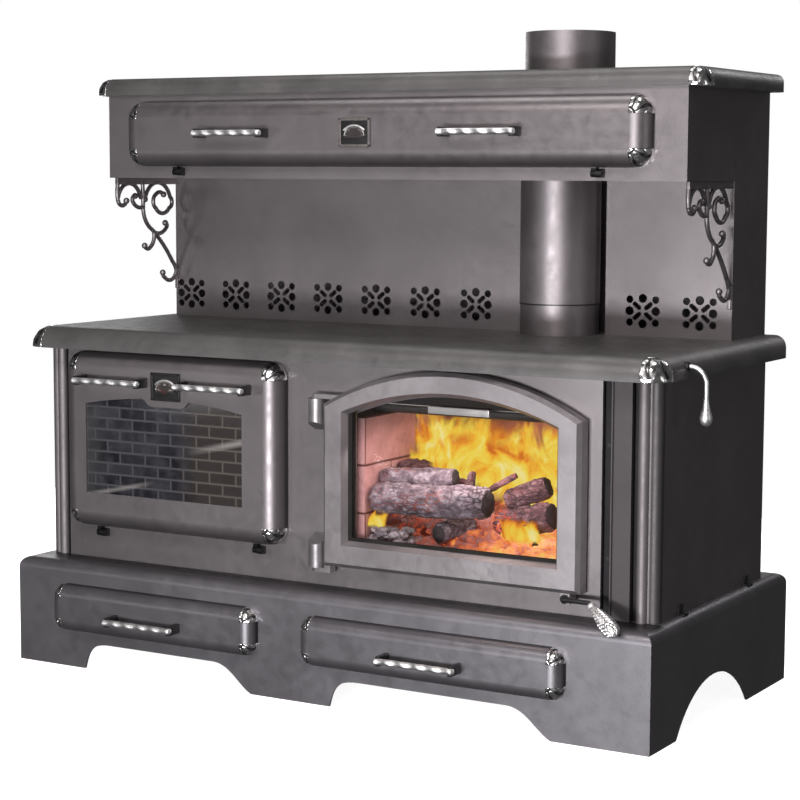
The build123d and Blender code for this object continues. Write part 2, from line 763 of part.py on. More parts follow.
def make_rear_plate():
    """Rear sheet of riser and hood, with a row of slots near its top."""
    half = HOOD_WIDTH / 2
    sheet = block(-half, half, HOOD_BACK - SHEET_T, HOOD_BACK, COOKTOP_TOP, HOOD_TOP)
    slot_w = 80.0
    slot_h = 8.0
    columns = 12
    for index in range(columns):
        x = -half + HOOD_WIDTH * (index + 0.5) / columns
        for row_z in (HOOD_BASE - 3 * REAR_SLOT_DROP, HOOD_BASE - REAR_SLOT_DROP):
            cutter = block(
                x - slot_w / 2,
                x + slot_w / 2,
                HOOD_BACK - SHEET_T - 1,
                HOOD_BACK + 1,
                row_z - slot_h / 2,
                row_z + slot_h / 2,
            )
            sheet = sheet - cutter
    return sheet


def make_hood_side():
    """Side sheet of riser and hood, an upside-down L."""
    front = HOOD_FRONT + SHEET_T
    back = HOOD_BACK - SHEET_T
    outline = Polyline(
        (RISER_FRONT, COOKTOP_TOP),
        (back, COOKTOP_TOP),
        (back, HOOD_TOP),
        (front, HOOD_TOP),
        (front, HOOD_BASE),
        (RISER_FRONT, HOOD_BASE),
        (RISER_FRONT, COOKTOP_TOP),
    )
    half = HOOD_WIDTH / 2
    return plate_yz(make_face(outline), half - SHEET_T, half)


def make_hood_facade():
    """Four flat strips round the closet's mouth."""
    half = HOOD_WIDTH / 2
    mouth = CLOSET_OPENING[0] / 2
    sill = HOOD_BASE + CLOSET_SILL
    lintel = sill + CLOSET_OPENING[1]
    y0 = HOOD_FRONT
    y1 = HOOD_FRONT + SHEET_T
    strips = [
        block(-half, half, y0, y1, HOOD_BASE, sill),
        block(-half, half, y0, y1, lintel, HOOD_TOP),
        block(-half, -mouth, y0, y1, sill, lintel),
        block(mouth, half, y0, y1, sill, lintel),
    ]
    return group(strips)


def make_warming_closet():
    """Hood floor and the wall at the back of the closet, one folded sheet, with the flue hole in the floor."""
    half = HOOD_WIDTH / 2 - SHEET_T
    front = HOOD_FRONT + SHEET_T
    floor = block(-half, half, front, HOOD_BACK - SHEET_T, HOOD_BASE, HOOD_BASE + SHEET_T)
    wall_y = front + CLOSET_DEPTH
    wall = block(-half, half, wall_y, wall_y + SHEET_T, HOOD_BASE, HOOD_TOP)
    hole = bar_z(HOOD_BASE - 1, HOOD_BASE + SHEET_T + 1, FLUE_X, FLUE_Y, PIPE_R + PIPE_GAP)
    return floor + wall - hole


def make_hood_slab():
    outline = (SLAB_WIDTH / 2, SLAB_FRONT, SLAB_BACK, HOOD_TOP, SLAB_TOP)
    slab = rounded_slab(outline, SLAB_CORNER_R, SLAB_EDGE_R)
    corners = front_corner_blocks(outline, SLAB_TRIM_SIZE)
    trims = [slab & corner for corner in corners]
    for corner in corners:
        slab = slab - corner
    half = SLAB_WIDTH / 2 - SLAB_RIM
    hollow = block(
        -half,
        half,
        SLAB_FRONT + SLAB_RIM,
        SLAB_BACK - SLAB_RIM,
        HOOD_TOP - 1,
        SLAB_TOP - SLAB_PLATE_T,
    )
    hole = bar_z(HOOD_TOP, SLAB_TOP + 1, OUTLET_X, FLUE_Y, PIPE_R + PIPE_GAP)
    return slab - hollow - hole, trims


def make_spigot():
    """Cast spigot on the cooktop, with a step that carries the pipe."""
    inner = SPIGOT_R - SPIGOT_WALL
    shoulder = COOKTOP_TOP + SPIGOT_H
    body = bar_z(COOKTOP_TOP, shoulder, FLUE_X, FLUE_Y, SPIGOT_R)
    body = body + bar_z(shoulder, shoulder + SPIGOT_NECK_H, FLUE_X, FLUE_Y, SPIGOT_NECK_R)
    return body - bar_z(COOKTOP_TOP - 1, shoulder + SPIGOT_NECK_H + 1, FLUE_X, FLUE_Y, inner)


def pipe_core(radius, start, end):
    """Solid core of the flue: straight up to the hood, a slant inside it, then straight to the outlet."""
    slant_start = HOOD_BASE + JOG_START
    slant_end = slant_start + JOG_H
    lower = Plane((FLUE_X, FLUE_Y, slant_start)) * Circle(radius)
    upper = Plane((OUTLET_X, FLUE_Y, slant_end)) * Circle(radius)
    slant = loft([lower, upper], ruled=True)
    below = bar_z(start, slant_start, FLUE_X, FLUE_Y, radius)
    above = bar_z(slant_end, end, OUTLET_X, FLUE_Y, radius)
    return below + slant + above


def make_flue_pipe():
    start = COOKTOP_TOP + SPIGOT_H
    return pipe_core(PIPE_R, start, SLAB_TOP) - pipe_core(PIPE_R - PIPE_WALL, start - 1, SLAB_TOP + 1)


def make_outlet_collar():
    return tube_z(SLAB_TOP, SLAB_TOP + OUTLET_H, OUTLET_X, FLUE_Y, OUTLET_R, OUTLET_R - OUTLET_WALL)


def make_bracket():
    """Right-hand scroll bracket: a flat plate of arcs under the hood, in front of the riser."""
    top = HOOD_BASE
    back = RISER_FRONT
    arcs = [
        # front leg and its foot curl
        ((-250, -14), (-253, -38), (-250, -58)),
        ((-250, -58), (-232, -70), (-216, -58)),
        # arch between the front leg and the middle leg
        ((-250, -50), (-205, -14), (-158, -50)),
        # middle leg with the curl on its left
        ((-149, -10), (-147, -45), (-147, -76)),
        ((-147, -74), (-176, -72), (-190, -60)),
        ((-190, -60), (-190, -50), (-180, -46)),
        # long stem down to the riser
        ((-147, -74), (-138, -108), (-112, -132)),
        ((-112, -132), (-62, -174), (-24, -218)),
        ((-24, -218), (-10, -236), (-5, -262)),
        # arch and large scroll beside the riser
        ((-139, -55), (-84, -12), (-32, -50)),
        ((-32, -30), (-26, -58), (-36, -78)),
        ((-36, -78), (-66, -92), (-94, -78)),
        ((-94, -78), (-104, -58), (-92, -42)),
        ((-92, -42), (-75, -37), (-60, -43)),
        # curl towards the riser, curl away from it, and the foot curl
        ((-112, -132), (-70, -142), (-50, -130)),
        ((-50, -130), (-47, -121), (-54, -117)),
        ((-102, -142), (-106, -166), (-118, -178)),
        ((-118, -178), (-132, -182), (-142, -174)),
        ((-8, -246), (-28, -266), (-56, -260)),
        ((-56, -260), (-64, -254), (-66, -246)),
    ]
    profile = Sketch()
    for points in arcs:
        start, middle, end = [(back + along, top + down) for along, down in points]
        profile += SlotArc(ThreePointArc(start, middle, end), BRACKET_STROKE)
    profile += Pos(back - BRACKET_REACH / 2, top - BRACKET_TOP / 2) * Rectangle(BRACKET_REACH, BRACKET_TOP)
    profile += Pos(back - BRACKET_FOOT_T / 2, top - BRACKET_FOOT_DROP) * Rectangle(BRACKET_FOOT_T, BRACKET_FOOT_H)
    room_l = 1.2 * BRACKET_REACH
    room_h = 1.5 * BRACKET_FOOT_DROP
    profile = profile & Pos(back - room_l / 2, top - room_h / 2) * Rectangle(room_l, room_h)
    half = HOOD_WIDTH / 2
    return plate_yz(profile, half - BRACKET_T, half)


# ---- oven -----------------------------------------------------------------------------------------------
def make_oven_box():
    x0, x1, z0, z1 = oven_hole()
    y1 = FACADE_BACK + OVEN_DEPTH
    wall = OVEN_WALL
    outer = block(x0 - wall, x1 + wall, FACADE_BACK, y1 + wall, z0 - wall, z1 + wall)
    return outer - block(x0, x1, FACADE_BACK - 1, y1, z0, z1)


def make_oven_bricks():
    """Brick-faced lining: back, left and right, with mortar joints cut into the back."""
    x0, x1, z0, z1 = oven_hole()
    y1 = FACADE_BACK + OVEN_DEPTH
    face = y1 - LINING_T
    back = block(x0, x1, face, y1, z0, z1)
    rows = int((z1 - z0) / BRICK_ROW)
    joints = Sketch()
    for row in range(rows + 1):
        low = z0 + row * BRICK_ROW
        joints += Pos((x0 + x1) / 2, low) * Rectangle(x1 - x0 + 2, MORTAR)
        shift = 0.5 * BRICK_LENGTH * (row % 2)
        count = int((x1 - x0 - shift) / BRICK_LENGTH)
        for index in range(count + 1):
            x = x0 + shift + index * BRICK_LENGTH
            height = min(BRICK_ROW, z1 - low)
            if height > MORTAR:
                joints += Pos(x, low + height / 2) * Rectangle(MORTAR, height)
    back = back - plate_xz(joints, face - 1, face + MORTAR_DEPTH)
    left = block(x0, x0 + LINING_T, FACADE_BACK, face, z0, z1)
    right = block(x1 - LINING_T, x1, FACADE_BACK, face, z0, z1)
    return group([back, left, right])


def make_oven_rack():
    """Wire rack and the two side rails that carry it."""
    x0, x1, z0, z1 = oven_hole()
    inner0 = x0 + LINING_T
    inner1 = x1 - LINING_T
    y0 = FACADE_BACK + 14.0
    y1 = FACADE_BACK + OVEN_DEPTH - LINING_T - 12.0
    rail_z = z0 + 62.0
    rails = []
    for edge, inward in ((inner0, 1), (inner1, -1)):
        span = sorted((edge, edge + inward * 14.0))
        rails.append(block(*span, y0, y1, rail_z, rail_z + 2.0))
    wire = 3.0
    level = rail_z + 2.0 + wire + 0.05
    left = inner0 + 6.0
    right = inner1 - 6.0
    rack = bar_x(left, right, y0 + 8.0, level, wire) + bar_x(left, right, y1 - 8.0, level, wire)
    for index in range(RACK_WIRE_COUNT):
        x = left + wire + (right - left - 2 * wire) * index / (RACK_WIRE_COUNT - 1)
        rack = rack + bar_y(y0 + 5.0, y1 - 5.0, x, level, wire)
    return group(rails + [rack])


def window_face(grow=0.0):
    """Oven window: a segmental arch with a dip below the plate between the handles."""
    x0, x1, z0, z1 = WINDOW
    left = x0 - grow
    right = x1 + grow
    centre = (x0 + x1) / 2
    shoulder = z1 + grow
    rise = WINDOW_RISE
    half = (right - left) / 2
    radius = (half**2 + rise**2) / (2 * rise)
    sides = Polyline((left, shoulder), (left, z0 - grow), (right, z0 - grow), (right, shoulder))
    arch = ThreePointArc((right, shoulder), (centre, shoulder + rise), (left, shoulder))
    window = make_face(sides + arch)
    if grow > 0:
        return window
    plate_centre = (OVEN_DOOR[0] + OVEN_DOOR[1]) / 2
    top = shoulder + rise
    inner = WINDOW_DIP_W / 2
    outer = inner + WINDOW_DIP_RUN
    bend = (inner + outer) / 2
    low = WINDOW_DIP_Z
    left_curve = Bezier((-outer, top), (-bend, top), (-bend, low), (-inner, low))
    right_curve = Bezier((inner, low), (bend, low), (bend, top), (outer, top))
    flat = Line((-inner, low), (inner, low))
    above = Polyline((outer, top), (outer, top + 9), (-outer, top + 9), (-outer, top))
    return window - Pos(plate_centre, 0) * make_face(left_curve + flat + right_curve + above)


def door_pocket(outline, back, thickness):
    """Hollow behind the sheet of a pillowed panel, open at its back."""
    left, right, bottom, top = outline
    return block(
        left + DOOR_RIM,
        right - DOOR_RIM,
        back - thickness + SKIN_T,
        back + 1,
        bottom + DOOR_RIM,
        top - DOOR_RIM,
    )


def hinge_ears(outline, back, wall_y, drop, spread):
    """Ears under a drop-down door, bored for its hinge pins."""
    left, right, bottom, top = outline
    centre = (left + right) / 2
    axis_y = wall_y - HINGE_BACK
    axis_z = bottom - drop
    ears = []
    for side in (-1, 1):
        x = centre + side * spread
        x0 = x - HINGE_EAR_W / 2
        x1 = x + HINGE_EAR_W / 2
        ear = block(x0, x1, axis_y - 4.0, back, axis_z, bottom + 6.0)
        ear = ear + bar_x(x0, x1, axis_y, axis_z, HINGE_EAR_R)
        ears.append(ear)
    bores = [
        bar_x(centre + side * spread - 20, centre + side * spread + 20, axis_y, axis_z, HINGE_PIN_R + HINGE_FIT)
        for side in (-1, 1)
    ]
    return ears, bores


def hinge_lug_and_pin(x, axis_y, axis_z, wall_y):
    """Fixed lug beside one ear, toward the centreline of its door, and the pin pressed into it."""
    x0 = x + HINGE_EAR_W / 2 + HINGE_SIDE_GAP
    x1 = x0 + HINGE_LUG_W
    reach = HINGE_EAR_R + 1.0
    lug = bar_x(x0, x1, axis_y, axis_z, reach)
    lug = lug + block(x0, x1, axis_y, wall_y, axis_z - reach, axis_z + reach)
    pin = bar_x(x - HINGE_EAR_W / 2 - 2.0, x1 + 1.0, axis_y, axis_z, HINGE_PIN_R)
    lug = lug - bar_x(x0 - 1, x1 + 1, axis_y, axis_z, HINGE_PIN_R)
    return lug, pin


def make_oven_door():
    """Sheet, caps, liner, glass and seal of the oven door."""
    panel = pillow(OVEN_DOOR, DOOR_BACK, DOOR_T, DOOR_ROLL_R, DOOR_CORNER_R)
    panel = panel - door_pocket(OVEN_DOOR, DOOR_BACK, DOOR_T)
    shell, caps = split_caps(panel, OVEN_DOOR, DOOR_BACK, DOOR_T, CAP_SIZE)
    front = DOOR_BACK - DOOR_T
    shell = shell - plate_xz(window_face(), front - 1, DOOR_BACK + 1)
    ears, bores = hinge_ears(OVEN_DOOR, DOOR_BACK, BODY_FRONT, HINGE_DROP, OVEN_HINGE_SPREAD)
    for ear in ears:
        shell = shell + ear
    for bore in bores:
        shell = shell - bore

    skin_back = front + SKIN_T
    glass = plate_xz(window_face(GLASS_LAP), skin_back, skin_back + GLASS_T)

    left, right, bottom, top = OVEN_DOOR
    liner = block(
        left + DOOR_RIM,
        right - DOOR_RIM,
        DOOR_BACK - LINER_T,
        DOOR_BACK,
        bottom + DOOR_RIM,
        top - DOOR_RIM,
    )
    frame = plate_xz(window_face(GLASS_LAP + 8.0), skin_back + GLASS_T, DOOR_BACK - LINER_T)
    liner = liner + frame
    liner = liner - plate_xz(window_face(0.001), skin_back, DOOR_BACK + 1)

    x0, x1, z0, z1 = oven_hole()
    inner = 5.0
    seal = block(x0 - inner - SEAL_W, x1 + inner + SEAL_W, DOOR_BACK, DOOR_BACK + SEAL_T, z0 - inner - SEAL_W,
                 z1 + inner)
    seal = seal - block(x0 - inner, x1 + inner, DOOR_BACK - 1, DOOR_BACK + SEAL_T + 1, z0 - inner,
                        z1 + inner - SEAL_W)
    return shell, caps, glass, liner, seal


def make_thermometer():
    """Plate between the oven handles with a half-round dial, and the needle on its post."""
    centre = (OVEN_DOOR[0] + OVEN_DOOR[1]) / 2
    front = DOOR_BACK - DOOR_T
    plate = block(
        centre - PLATE_W / 2,
        centre + PLATE_W / 2,
        front - PLATE_T,
        front,
        OVEN_PLATE_Z - PLATE_H / 2,
        OVEN_PLATE_Z + PLATE_H / 2,
    )
    plate = fillet(plate.edges().filter_by(Axis.Y), 6.0)
    pivot_z = OVEN_PLATE_Z - DIAL_DROP
    ring = Circle(DIAL_R) - Circle(DIAL_R - DIAL_RIM)
    upper = Pos(0, DIAL_R / 2) * Rectangle(2 * DIAL_R + 2, DIAL_R)
    rim = plate_xz(Pos(centre, pivot_z) * (ring & upper), front - PLATE_T - 4.0, front - PLATE_T)
    post = bar_y(front - PLATE_T - 3.2, front - PLATE_T, centre, pivot_z, 2.0)
    dial = plate + rim + post
    needle_back = front - PLATE_T - 0.5
    arm = Pos(NEEDLE_LENGTH / 2, 0) * Rectangle(NEEDLE_LENGTH, NEEDLE_W)
    hub = Circle(4.0)
    needle = Pos(centre, pivot_z) * (Rot(0, 0, NEEDLE_REST) * (arm + hub) - Circle(2.0 + HINGE_FIT))
    return dial, plate_xz(needle, needle_back - NEEDLE_T, needle_back)


def make_warming_door():
    panel = pillow(WARMING_DOOR, WARMING_BACK, DOOR_T, DOOR_ROLL_R, DOOR_CORNER_R)
    panel = panel - door_pocket(WARMING_DOOR, WARMING_BACK, DOOR_T)
    shell, caps = split_caps(panel, WARMING_DOOR, WARMING_BACK, DOOR_T, CAP_SIZE)
    ears, bores = hinge_ears(WARMING_DOOR, WARMING_BACK, HOOD_FRONT, WARMING_HINGE_DROP, WARMING_HINGE_SPREAD)
    for ear in ears:
        shell = shell + ear
    for bore in bores:
        shell = shell - bore
    return shell, caps


def make_warming_plate():
    """Bare plate between the warming closet's handles, with a raised rim."""
    front = WARMING_BACK - DOOR_T
    centre_z = (WARMING_DOOR[2] + WARMING_DOOR[3]) / 2
    outer = RectangleRounded(PLATE_W, PLATE_H, 6.0)
    inner = RectangleRounded(PLATE_W - 10.0, PLATE_H - 10.0, 3.0)
    plate = plate_xz(Pos(WARMING_TRIM_X, centre_z) * outer, front - PLATE_T, front)
    return plate - plate_xz(Pos(WARMING_TRIM_X, centre_z) * inner, front - PLATE_T - 1, front - PLATE_T + 2.0)


# ---- fire door ------------------------------------------------------------------------------------------
def make_fire_door():
    """Moulded frame with hinge ears and pins, its glass and its seal."""
    back = FIRE_DOOR_FRONT + FIRE_DOOR_T
    outer = arched_face(FIRE_DOOR_HALF, FIRE_DOOR_BOTTOM, FIRE_DOOR_CROWN, FIRE_DOOR_ARCH_R)
    opening = arched_face(FIRE_GLASS_HALF, FIRE_GLASS_BOTTOM, FIRE_GLASS_CROWN, FIRE_GLASS_ARCH_R)
    frame = plate_xz(outer, FIRE_DOOR_FRONT, back)
    frame = frame - plate_xz(opening, FIRE_DOOR_FRONT - 1, back + 1)
    face = frame.faces().sort_by(Axis.Y)[0]
    frame = chamfer(face.outer_wire().edges(), FRAME_BEVEL)
    face = frame.faces().sort_by(Axis.Y)[0]
    frame = chamfer(face.inner_wires()[0].edges(), FRAME_SLOPE_DEPTH, FRAME_SLOPE, reference=face)
    pane = arched_face(FIRE_GLASS_HALF, FIRE_GLASS_BOTTOM, FIRE_GLASS_CROWN, FIRE_GLASS_ARCH_R, FIRE_GLASS_LAP)
    seat = FIRE_DOOR_FRONT + FIRE_GLASS_SEAT
    frame = frame - plate_xz(pane, seat, back + 1)
    glass = plate_xz(pane, seat, seat + FIRE_GLASS_T)

    door_edge = FIRE_CENTRE - FIRE_DOOR_HALF
    ear_y0 = FIRE_HINGE_Y - FIRE_EAR_R
    ear_y1 = FIRE_HINGE_Y + FIRE_EAR_R
    upper_z = UPPER_LUG_TOP + RUNNING_GAP
    lower_z = LOWER_LUG_BOTTOM - RUNNING_GAP
    for z0, z1, pin_z0, pin_z1, reach in (
        (upper_z, upper_z + FIRE_EAR_T, upper_z - FIRE_PIN_L, upper_z + 1, UPPER_EAR_REACH),
        (lower_z - FIRE_EAR_T, lower_z, lower_z - 1, lower_z + FIRE_PIN_L, LOWER_EAR_REACH),
    ):
        frame = frame + block(FIRE_HINGE_X, door_edge + reach, ear_y0, ear_y1, z0, z1)
        frame = frame + bar_z(z0, z1, FIRE_HINGE_X, FIRE_HINGE_Y, FIRE_EAR_R)
        frame = frame + bar_z(pin_z0, pin_z1, FIRE_HINGE_X, FIRE_HINGE_Y, FIRE_PIN_R)
    riser = block(
        door_edge,
        door_edge + LOWER_EAR_REACH,
        ear_y0,
        ear_y1,
        lower_z - FIRE_EAR_T,
        FIRE_DOOR_BOTTOM + 1,
    )
    frame = frame + riser
    boss = block(
        LATCH_X - LATCH_BOSS,
        LATCH_X + LATCH_BOSS,
        LATCH_LEVER_Y + 10.0,
        back - 2.0,
        LATCH_Z - LATCH_BOSS,
        FIRE_DOOR_BOTTOM + 1,
    )
    frame = frame + boss
    frame = frame - bar_y(LATCH_LEVER_Y, back + 10, LATCH_X, LATCH_Z, LATCH_SHAFT_R + HINGE_FIT)

    ring = arched_face(FIRE_GLASS_HALF, FIRE_GLASS_BOTTOM, FIRE_GLASS_CROWN, FIRE_GLASS_ARCH_R,
                       FIRE_SEAL_OFFSET + SEAL_W)
    ring = ring - arched_face(FIRE_GLASS_HALF, FIRE_GLASS_BOTTOM, FIRE_GLASS_CROWN, FIRE_GLASS_ARCH_R,
                              FIRE_SEAL_OFFSET)
    seal = plate_xz(ring, back, BODY_FRONT - SEAL_GAP)
    return frame, glass, seal


def make_fire_lugs():
    """Fixed lugs at the left of the fire door, tapered away from their ears, bored for the pins."""
    lugs = []
    bore_r = FIRE_PIN_R + HINGE_FIT
    bore_l = FIRE_PIN_L + 4.0
    for z0, z1, tapered_end in (
        (UPPER_LUG_TOP - FIRE_LUG_H, UPPER_LUG_TOP, "low"),
        (LOWER_LUG_BOTTOM, LOWER_LUG_BOTTOM + FIRE_LUG_H, "high"),
    ):
        x0 = FIRE_HINGE_X - FIRE_LUG_R
        x1 = FIRE_HINGE_X + FIRE_LUG_R
        lug = bar_z(z0, z1, FIRE_HINGE_X, FIRE_HINGE_Y, FIRE_LUG_R)
        lug = lug + block(x0, x1, FIRE_HINGE_Y, BODY_FRONT, z0, z1)
        front = FIRE_HINGE_Y - FIRE_LUG_R
        if tapered_end == "low":
            wedge = Polyline((front, z0), (front, z0 + FIRE_LUG_TAPER), (BODY_FRONT, z0), (front, z0))
            bore = bar_z(z1 - bore_l, z1 + 1, FIRE_HINGE_X, FIRE_HINGE_Y, bore_r)
        else:
            wedge = Polyline((front, z1), (front, z1 - FIRE_LUG_TAPER), (BODY_FRONT, z1), (front, z1))
            bore = bar_z(z0 - 1, z0 + bore_l, FIRE_HINGE_X, FIRE_HINGE_Y, bore_r)
        lug = lug - plate_yz(make_face(wedge), x0 - 1, x1 + 1) - bore
        lugs.append(lug)
    return lugs


def blade_corner():
    """Upper corner of the latch blade's tip at rest: (x, z)."""
    angle = radians(LATCH_BLADE_ANGLE)
    half = LATCH_BLADE_W / 2
    x = LATCH_X + LATCH_BLADE_L * cos(angle) + half * sin(angle)
    z = LATCH_Z + LATCH_BLADE_L * sin(angle) - half * cos(angle)
    return x, z


def make_latch_stop():
    """Stop on the facade above the tip of the latch blade, behind the door's bottom rail."""
    x, z = blade_corner()
    low = z + RUNNING_GAP
    return block(x - 14.0, x + 14.0, BODY_FRONT - LATCH_STOP_T, BODY_FRONT, low, low + LATCH_STOP_H)


def make_latch():
    """Lever, shaft and blade in one piece, and the coil grip on the lever's end."""
    back = FIRE_DOOR_FRONT + FIRE_DOOR_T
    blade_y0 = back + 1.3
    lever_y = LATCH_LEVER_Y
    shaft = bar_y(lever_y, blade_y0 + LATCH_BLADE_T, LATCH_X, LATCH_Z, LATCH_SHAFT_R)
    elbow_x = LATCH_X + LATCH_REACH
    arm = bar_x(LATCH_X, elbow_x, lever_y, LATCH_Z, LATCH_SHAFT_R)
    knees = [
        Pos(x, lever_y, LATCH_Z) * Sphere(LATCH_SHAFT_R)
        for x in (LATCH_X, elbow_x)
    ]
    collar = bar_y(lever_y + 5.5, lever_y + 9.5, LATCH_X, LATCH_Z, 2 * LATCH_SHAFT_R)
    angle = radians(LATCH_BLADE_ANGLE)
    blade_face = Pos(LATCH_BLADE_L / 2, 0) * Rectangle(LATCH_BLADE_L, LATCH_BLADE_W)
    blade_face = blade_face + Circle(LATCH_BLADE_W / 2)
    blade_face = Pos(LATCH_X, LATCH_Z) * Rot(0, 0, LATCH_BLADE_ANGLE) * blade_face
    blade = plate_xz(blade_face, blade_y0, blade_y0 + LATCH_BLADE_T)
    lever = shaft + arm + knees[0] + knees[1] + collar + blade
    knee = Vector(elbow_x, lever_y, LATCH_Z)
    along = Plane(origin=knee, z_dir=knee - Vector(*LATCH_GRIP_END))
    lever = lever + along * (Pos(0, 0, -LATCH_NECK / 2) * Cylinder(LATCH_SHAFT_R - 1.0, LATCH_NECK))
    grip = along * (Pos(0, 0, -LATCH_NECK) * pear(LATCH_GRIP_L, LATCH_GRIP_R, LATCH_SHAFT_R))
    return lever, grip


# ---- firebox --------------------------------------------------------------------------------------------
def make_firebox_shell():
    x0 = FIRE_CENTRE - FIREBOX_HALF
    x1 = FIRE_CENTRE + FIREBOX_HALF
    y1 = FACADE_BACK + FIREBOX_DEPTH
    wall = FIREBOX_WALL
    outer = block(x0 - wall, x1 + wall, FACADE_BACK, y1 + wall, FIREBOX_FLOOR - wall, FIREBOX_TOP + wall)
    shell = outer - block(x0, x1, FACADE_BACK - 1, y1, FIREBOX_FLOOR, FIREBOX_TOP)
    hole = ash_hole()
    return shell - block(*hole, FIREBOX_FLOOR - wall - 1, FIREBOX_FLOOR + 1)


def make_ash_chute():
    """Square duct from the grate down to the plinth's deck."""
    x0, x1, y0, y1 = ash_hole()
    z0 = PLINTH_HEIGHT
    z1 = FIREBOX_FLOOR - FIREBOX_WALL
    wall = CHUTE_WALL
    duct = block(x0 - wall, x1 + wall, y0 - wall, y1 + wall, z0, z1)
    return duct - block(x0, x1, y0, y1, z0 - 1, z1 + 1)


def make_grate():
    """Cast grate lying over the chute, and the fence that keeps the logs off the glass."""
    x0, x1, y0, y1 = ash_hole()
    lap = 8.0
    plate = block(x0 - lap, x1 + lap, y0 - lap, y1 + lap, FIREBOX_FLOOR, FIREBOX_FLOOR + GRATE_T)
    for index in range(GRATE_SLOTS):
        x = x0 + GRATE_W * (index + 0.5) / GRATE_SLOTS
        slot = block(
            x - GRATE_SLOT / 2,
            x + GRATE_SLOT / 2,
            y0 + 6,
            y1 - 6,
            FIREBOX_FLOOR - 1,
            FIREBOX_FLOOR + GRATE_T + 1,
        )
        plate = plate - slot
    half = FIREBOX_HALF - FIREBRICK_T - 4.0
    fence = block(
        FIRE_CENTRE - half,
        FIRE_CENTRE + half,
        FACADE_BACK + 6.0,
        FACADE_BACK + 6.0 + RETAINER_T,
        FIREBOX_FLOOR,
        FIREBOX_FLOOR + RETAINER_H,
    )
    return group([plate, fence])


def make_fire_bricks():
    """Firebricks on edge round the three walls, in running bond."""
    x0 = FIRE_CENTRE - FIREBOX_HALF
    x1 = FIRE_CENTRE + FIREBOX_HALF
    y0 = FACADE_BACK + 10.0
    y1 = FACADE_BACK + FIREBOX_DEPTH
    bricks = []

    def wall_spans(low, high, shift):
        """Cut one course into bricks, the first one shortened by shift."""
        spans = []
        start = low
        end = low + FIREBRICK_L - shift
        while start < high - 1:
            end = min(end, high)
            spans.append((start, end - BRICK_JOINT))
            start = end
            end = start + FIREBRICK_L
        return spans

    for course in range(FIREBRICK_COURSES):
        z0 = FIREBOX_FLOOR + course * FIREBRICK_H
        z1 = z0 + FIREBRICK_H - BRICK_JOINT
        shift = 0.5 * FIREBRICK_L * (course % 2)
        for a, b in wall_spans(x0, x1, shift):
            bricks.append(block(a, b, y1 - FIREBRICK_T, y1, z0, z1))
        for a, b in wall_spans(y0, y1 - FIREBRICK_T, shift):
            bricks.append(block(x0, x0 + FIREBRICK_T, a, b, z0, z1))
            bricks.append(block(x1 - FIREBRICK_T, x1, a, b, z0, z1))
    return group(bricks)


def make_air_tubes():
    """Secondary air tubes across the firebox, and the angled air-wash strip behind the top of the glass."""
    x0 = FIRE_CENTRE - FIREBOX_HALF
    x1 = FIRE_CENTRE + FIREBOX_HALF
    tubes = []
    for index in range(AIR_TUBES):
        y = FACADE_BACK + FIREBOX_DEPTH * (index + 1.0) / (AIR_TUBES + 1)
        tube = bar_x(x0, x1, y, TUBE_Z, AIR_TUBE_R) - bar_x(x0 - 1, x1 + 1, y, TUBE_Z, AIR_TUBE_R - 2.0)
        tubes.append(tube)
    low = FIRE_GLASS_CROWN - 26.0
    strip = Polyline(
        (FACADE_BACK, low + 60.0),
        (FACADE_BACK + 3.0, low + 60.0),
        (FACADE_BACK + 28.0, low),
        (FACADE_BACK + 25.0, low),
        (FACADE_BACK, low + 54.0),
        (FACADE_BACK, low + 60.0),
    )
    high = FIREBOX_TOP - 2.0
    strip_face = make_face(strip) & (Pos(FACADE_BACK + 50.0, high - 100.0) * Rectangle(100.0, 200.0))
    tubes.append(plate_yz(strip_face, x0, x1))
    return group(tubes)


def make_baffle():
    """Insulating board lying on the air tubes."""
    x0 = FIRE_CENTRE - FIREBOX_HALF
    x1 = FIRE_CENTRE + FIREBOX_HALF
    y0 = FACADE_BACK + 60.0
    y1 = FACADE_BACK + FIREBOX_DEPTH
    return block(x0, x1, y0, y1, BAFFLE_Z, BAFFLE_Z + BAFFLE_T)


# ---- drawers --------------------------------------------------------------------------------------------
def make_drawer(front):
    """Pillowed front, its caps and handle, and the sheet box behind it."""
    back = -DRAWER_GAP
    panel = pillow(front, back, DRAWER_T, DRAWER_ROLL_R, DRAWER_CORNER_R)
    shell, caps = split_caps(panel, front, back, DRAWER_T, DRAWER_CAP_SIZE)
    left, right, bottom, top = front
    x0 = left + DRAWER_INSET
    x1 = right - DRAWER_INSET
    z0 = bottom + DRAWER_INSET / 2
    z1 = z0 + DRAWER_BOX_H
    wall = DRAWER_BOX_WALL
    box = block(x0, x1, back, back + DRAWER_BOX_DEPTH, z0, z1)
    box = box - block(x0 + wall, x1 - wall, back + wall, back + DRAWER_BOX_DEPTH - wall, z0 + wall, z1 + 1)
    pull = handle((left + right) / 2, back - DRAWER_T, DRAWER_HANDLE_Z)
    return shell, box, caps + [pull]


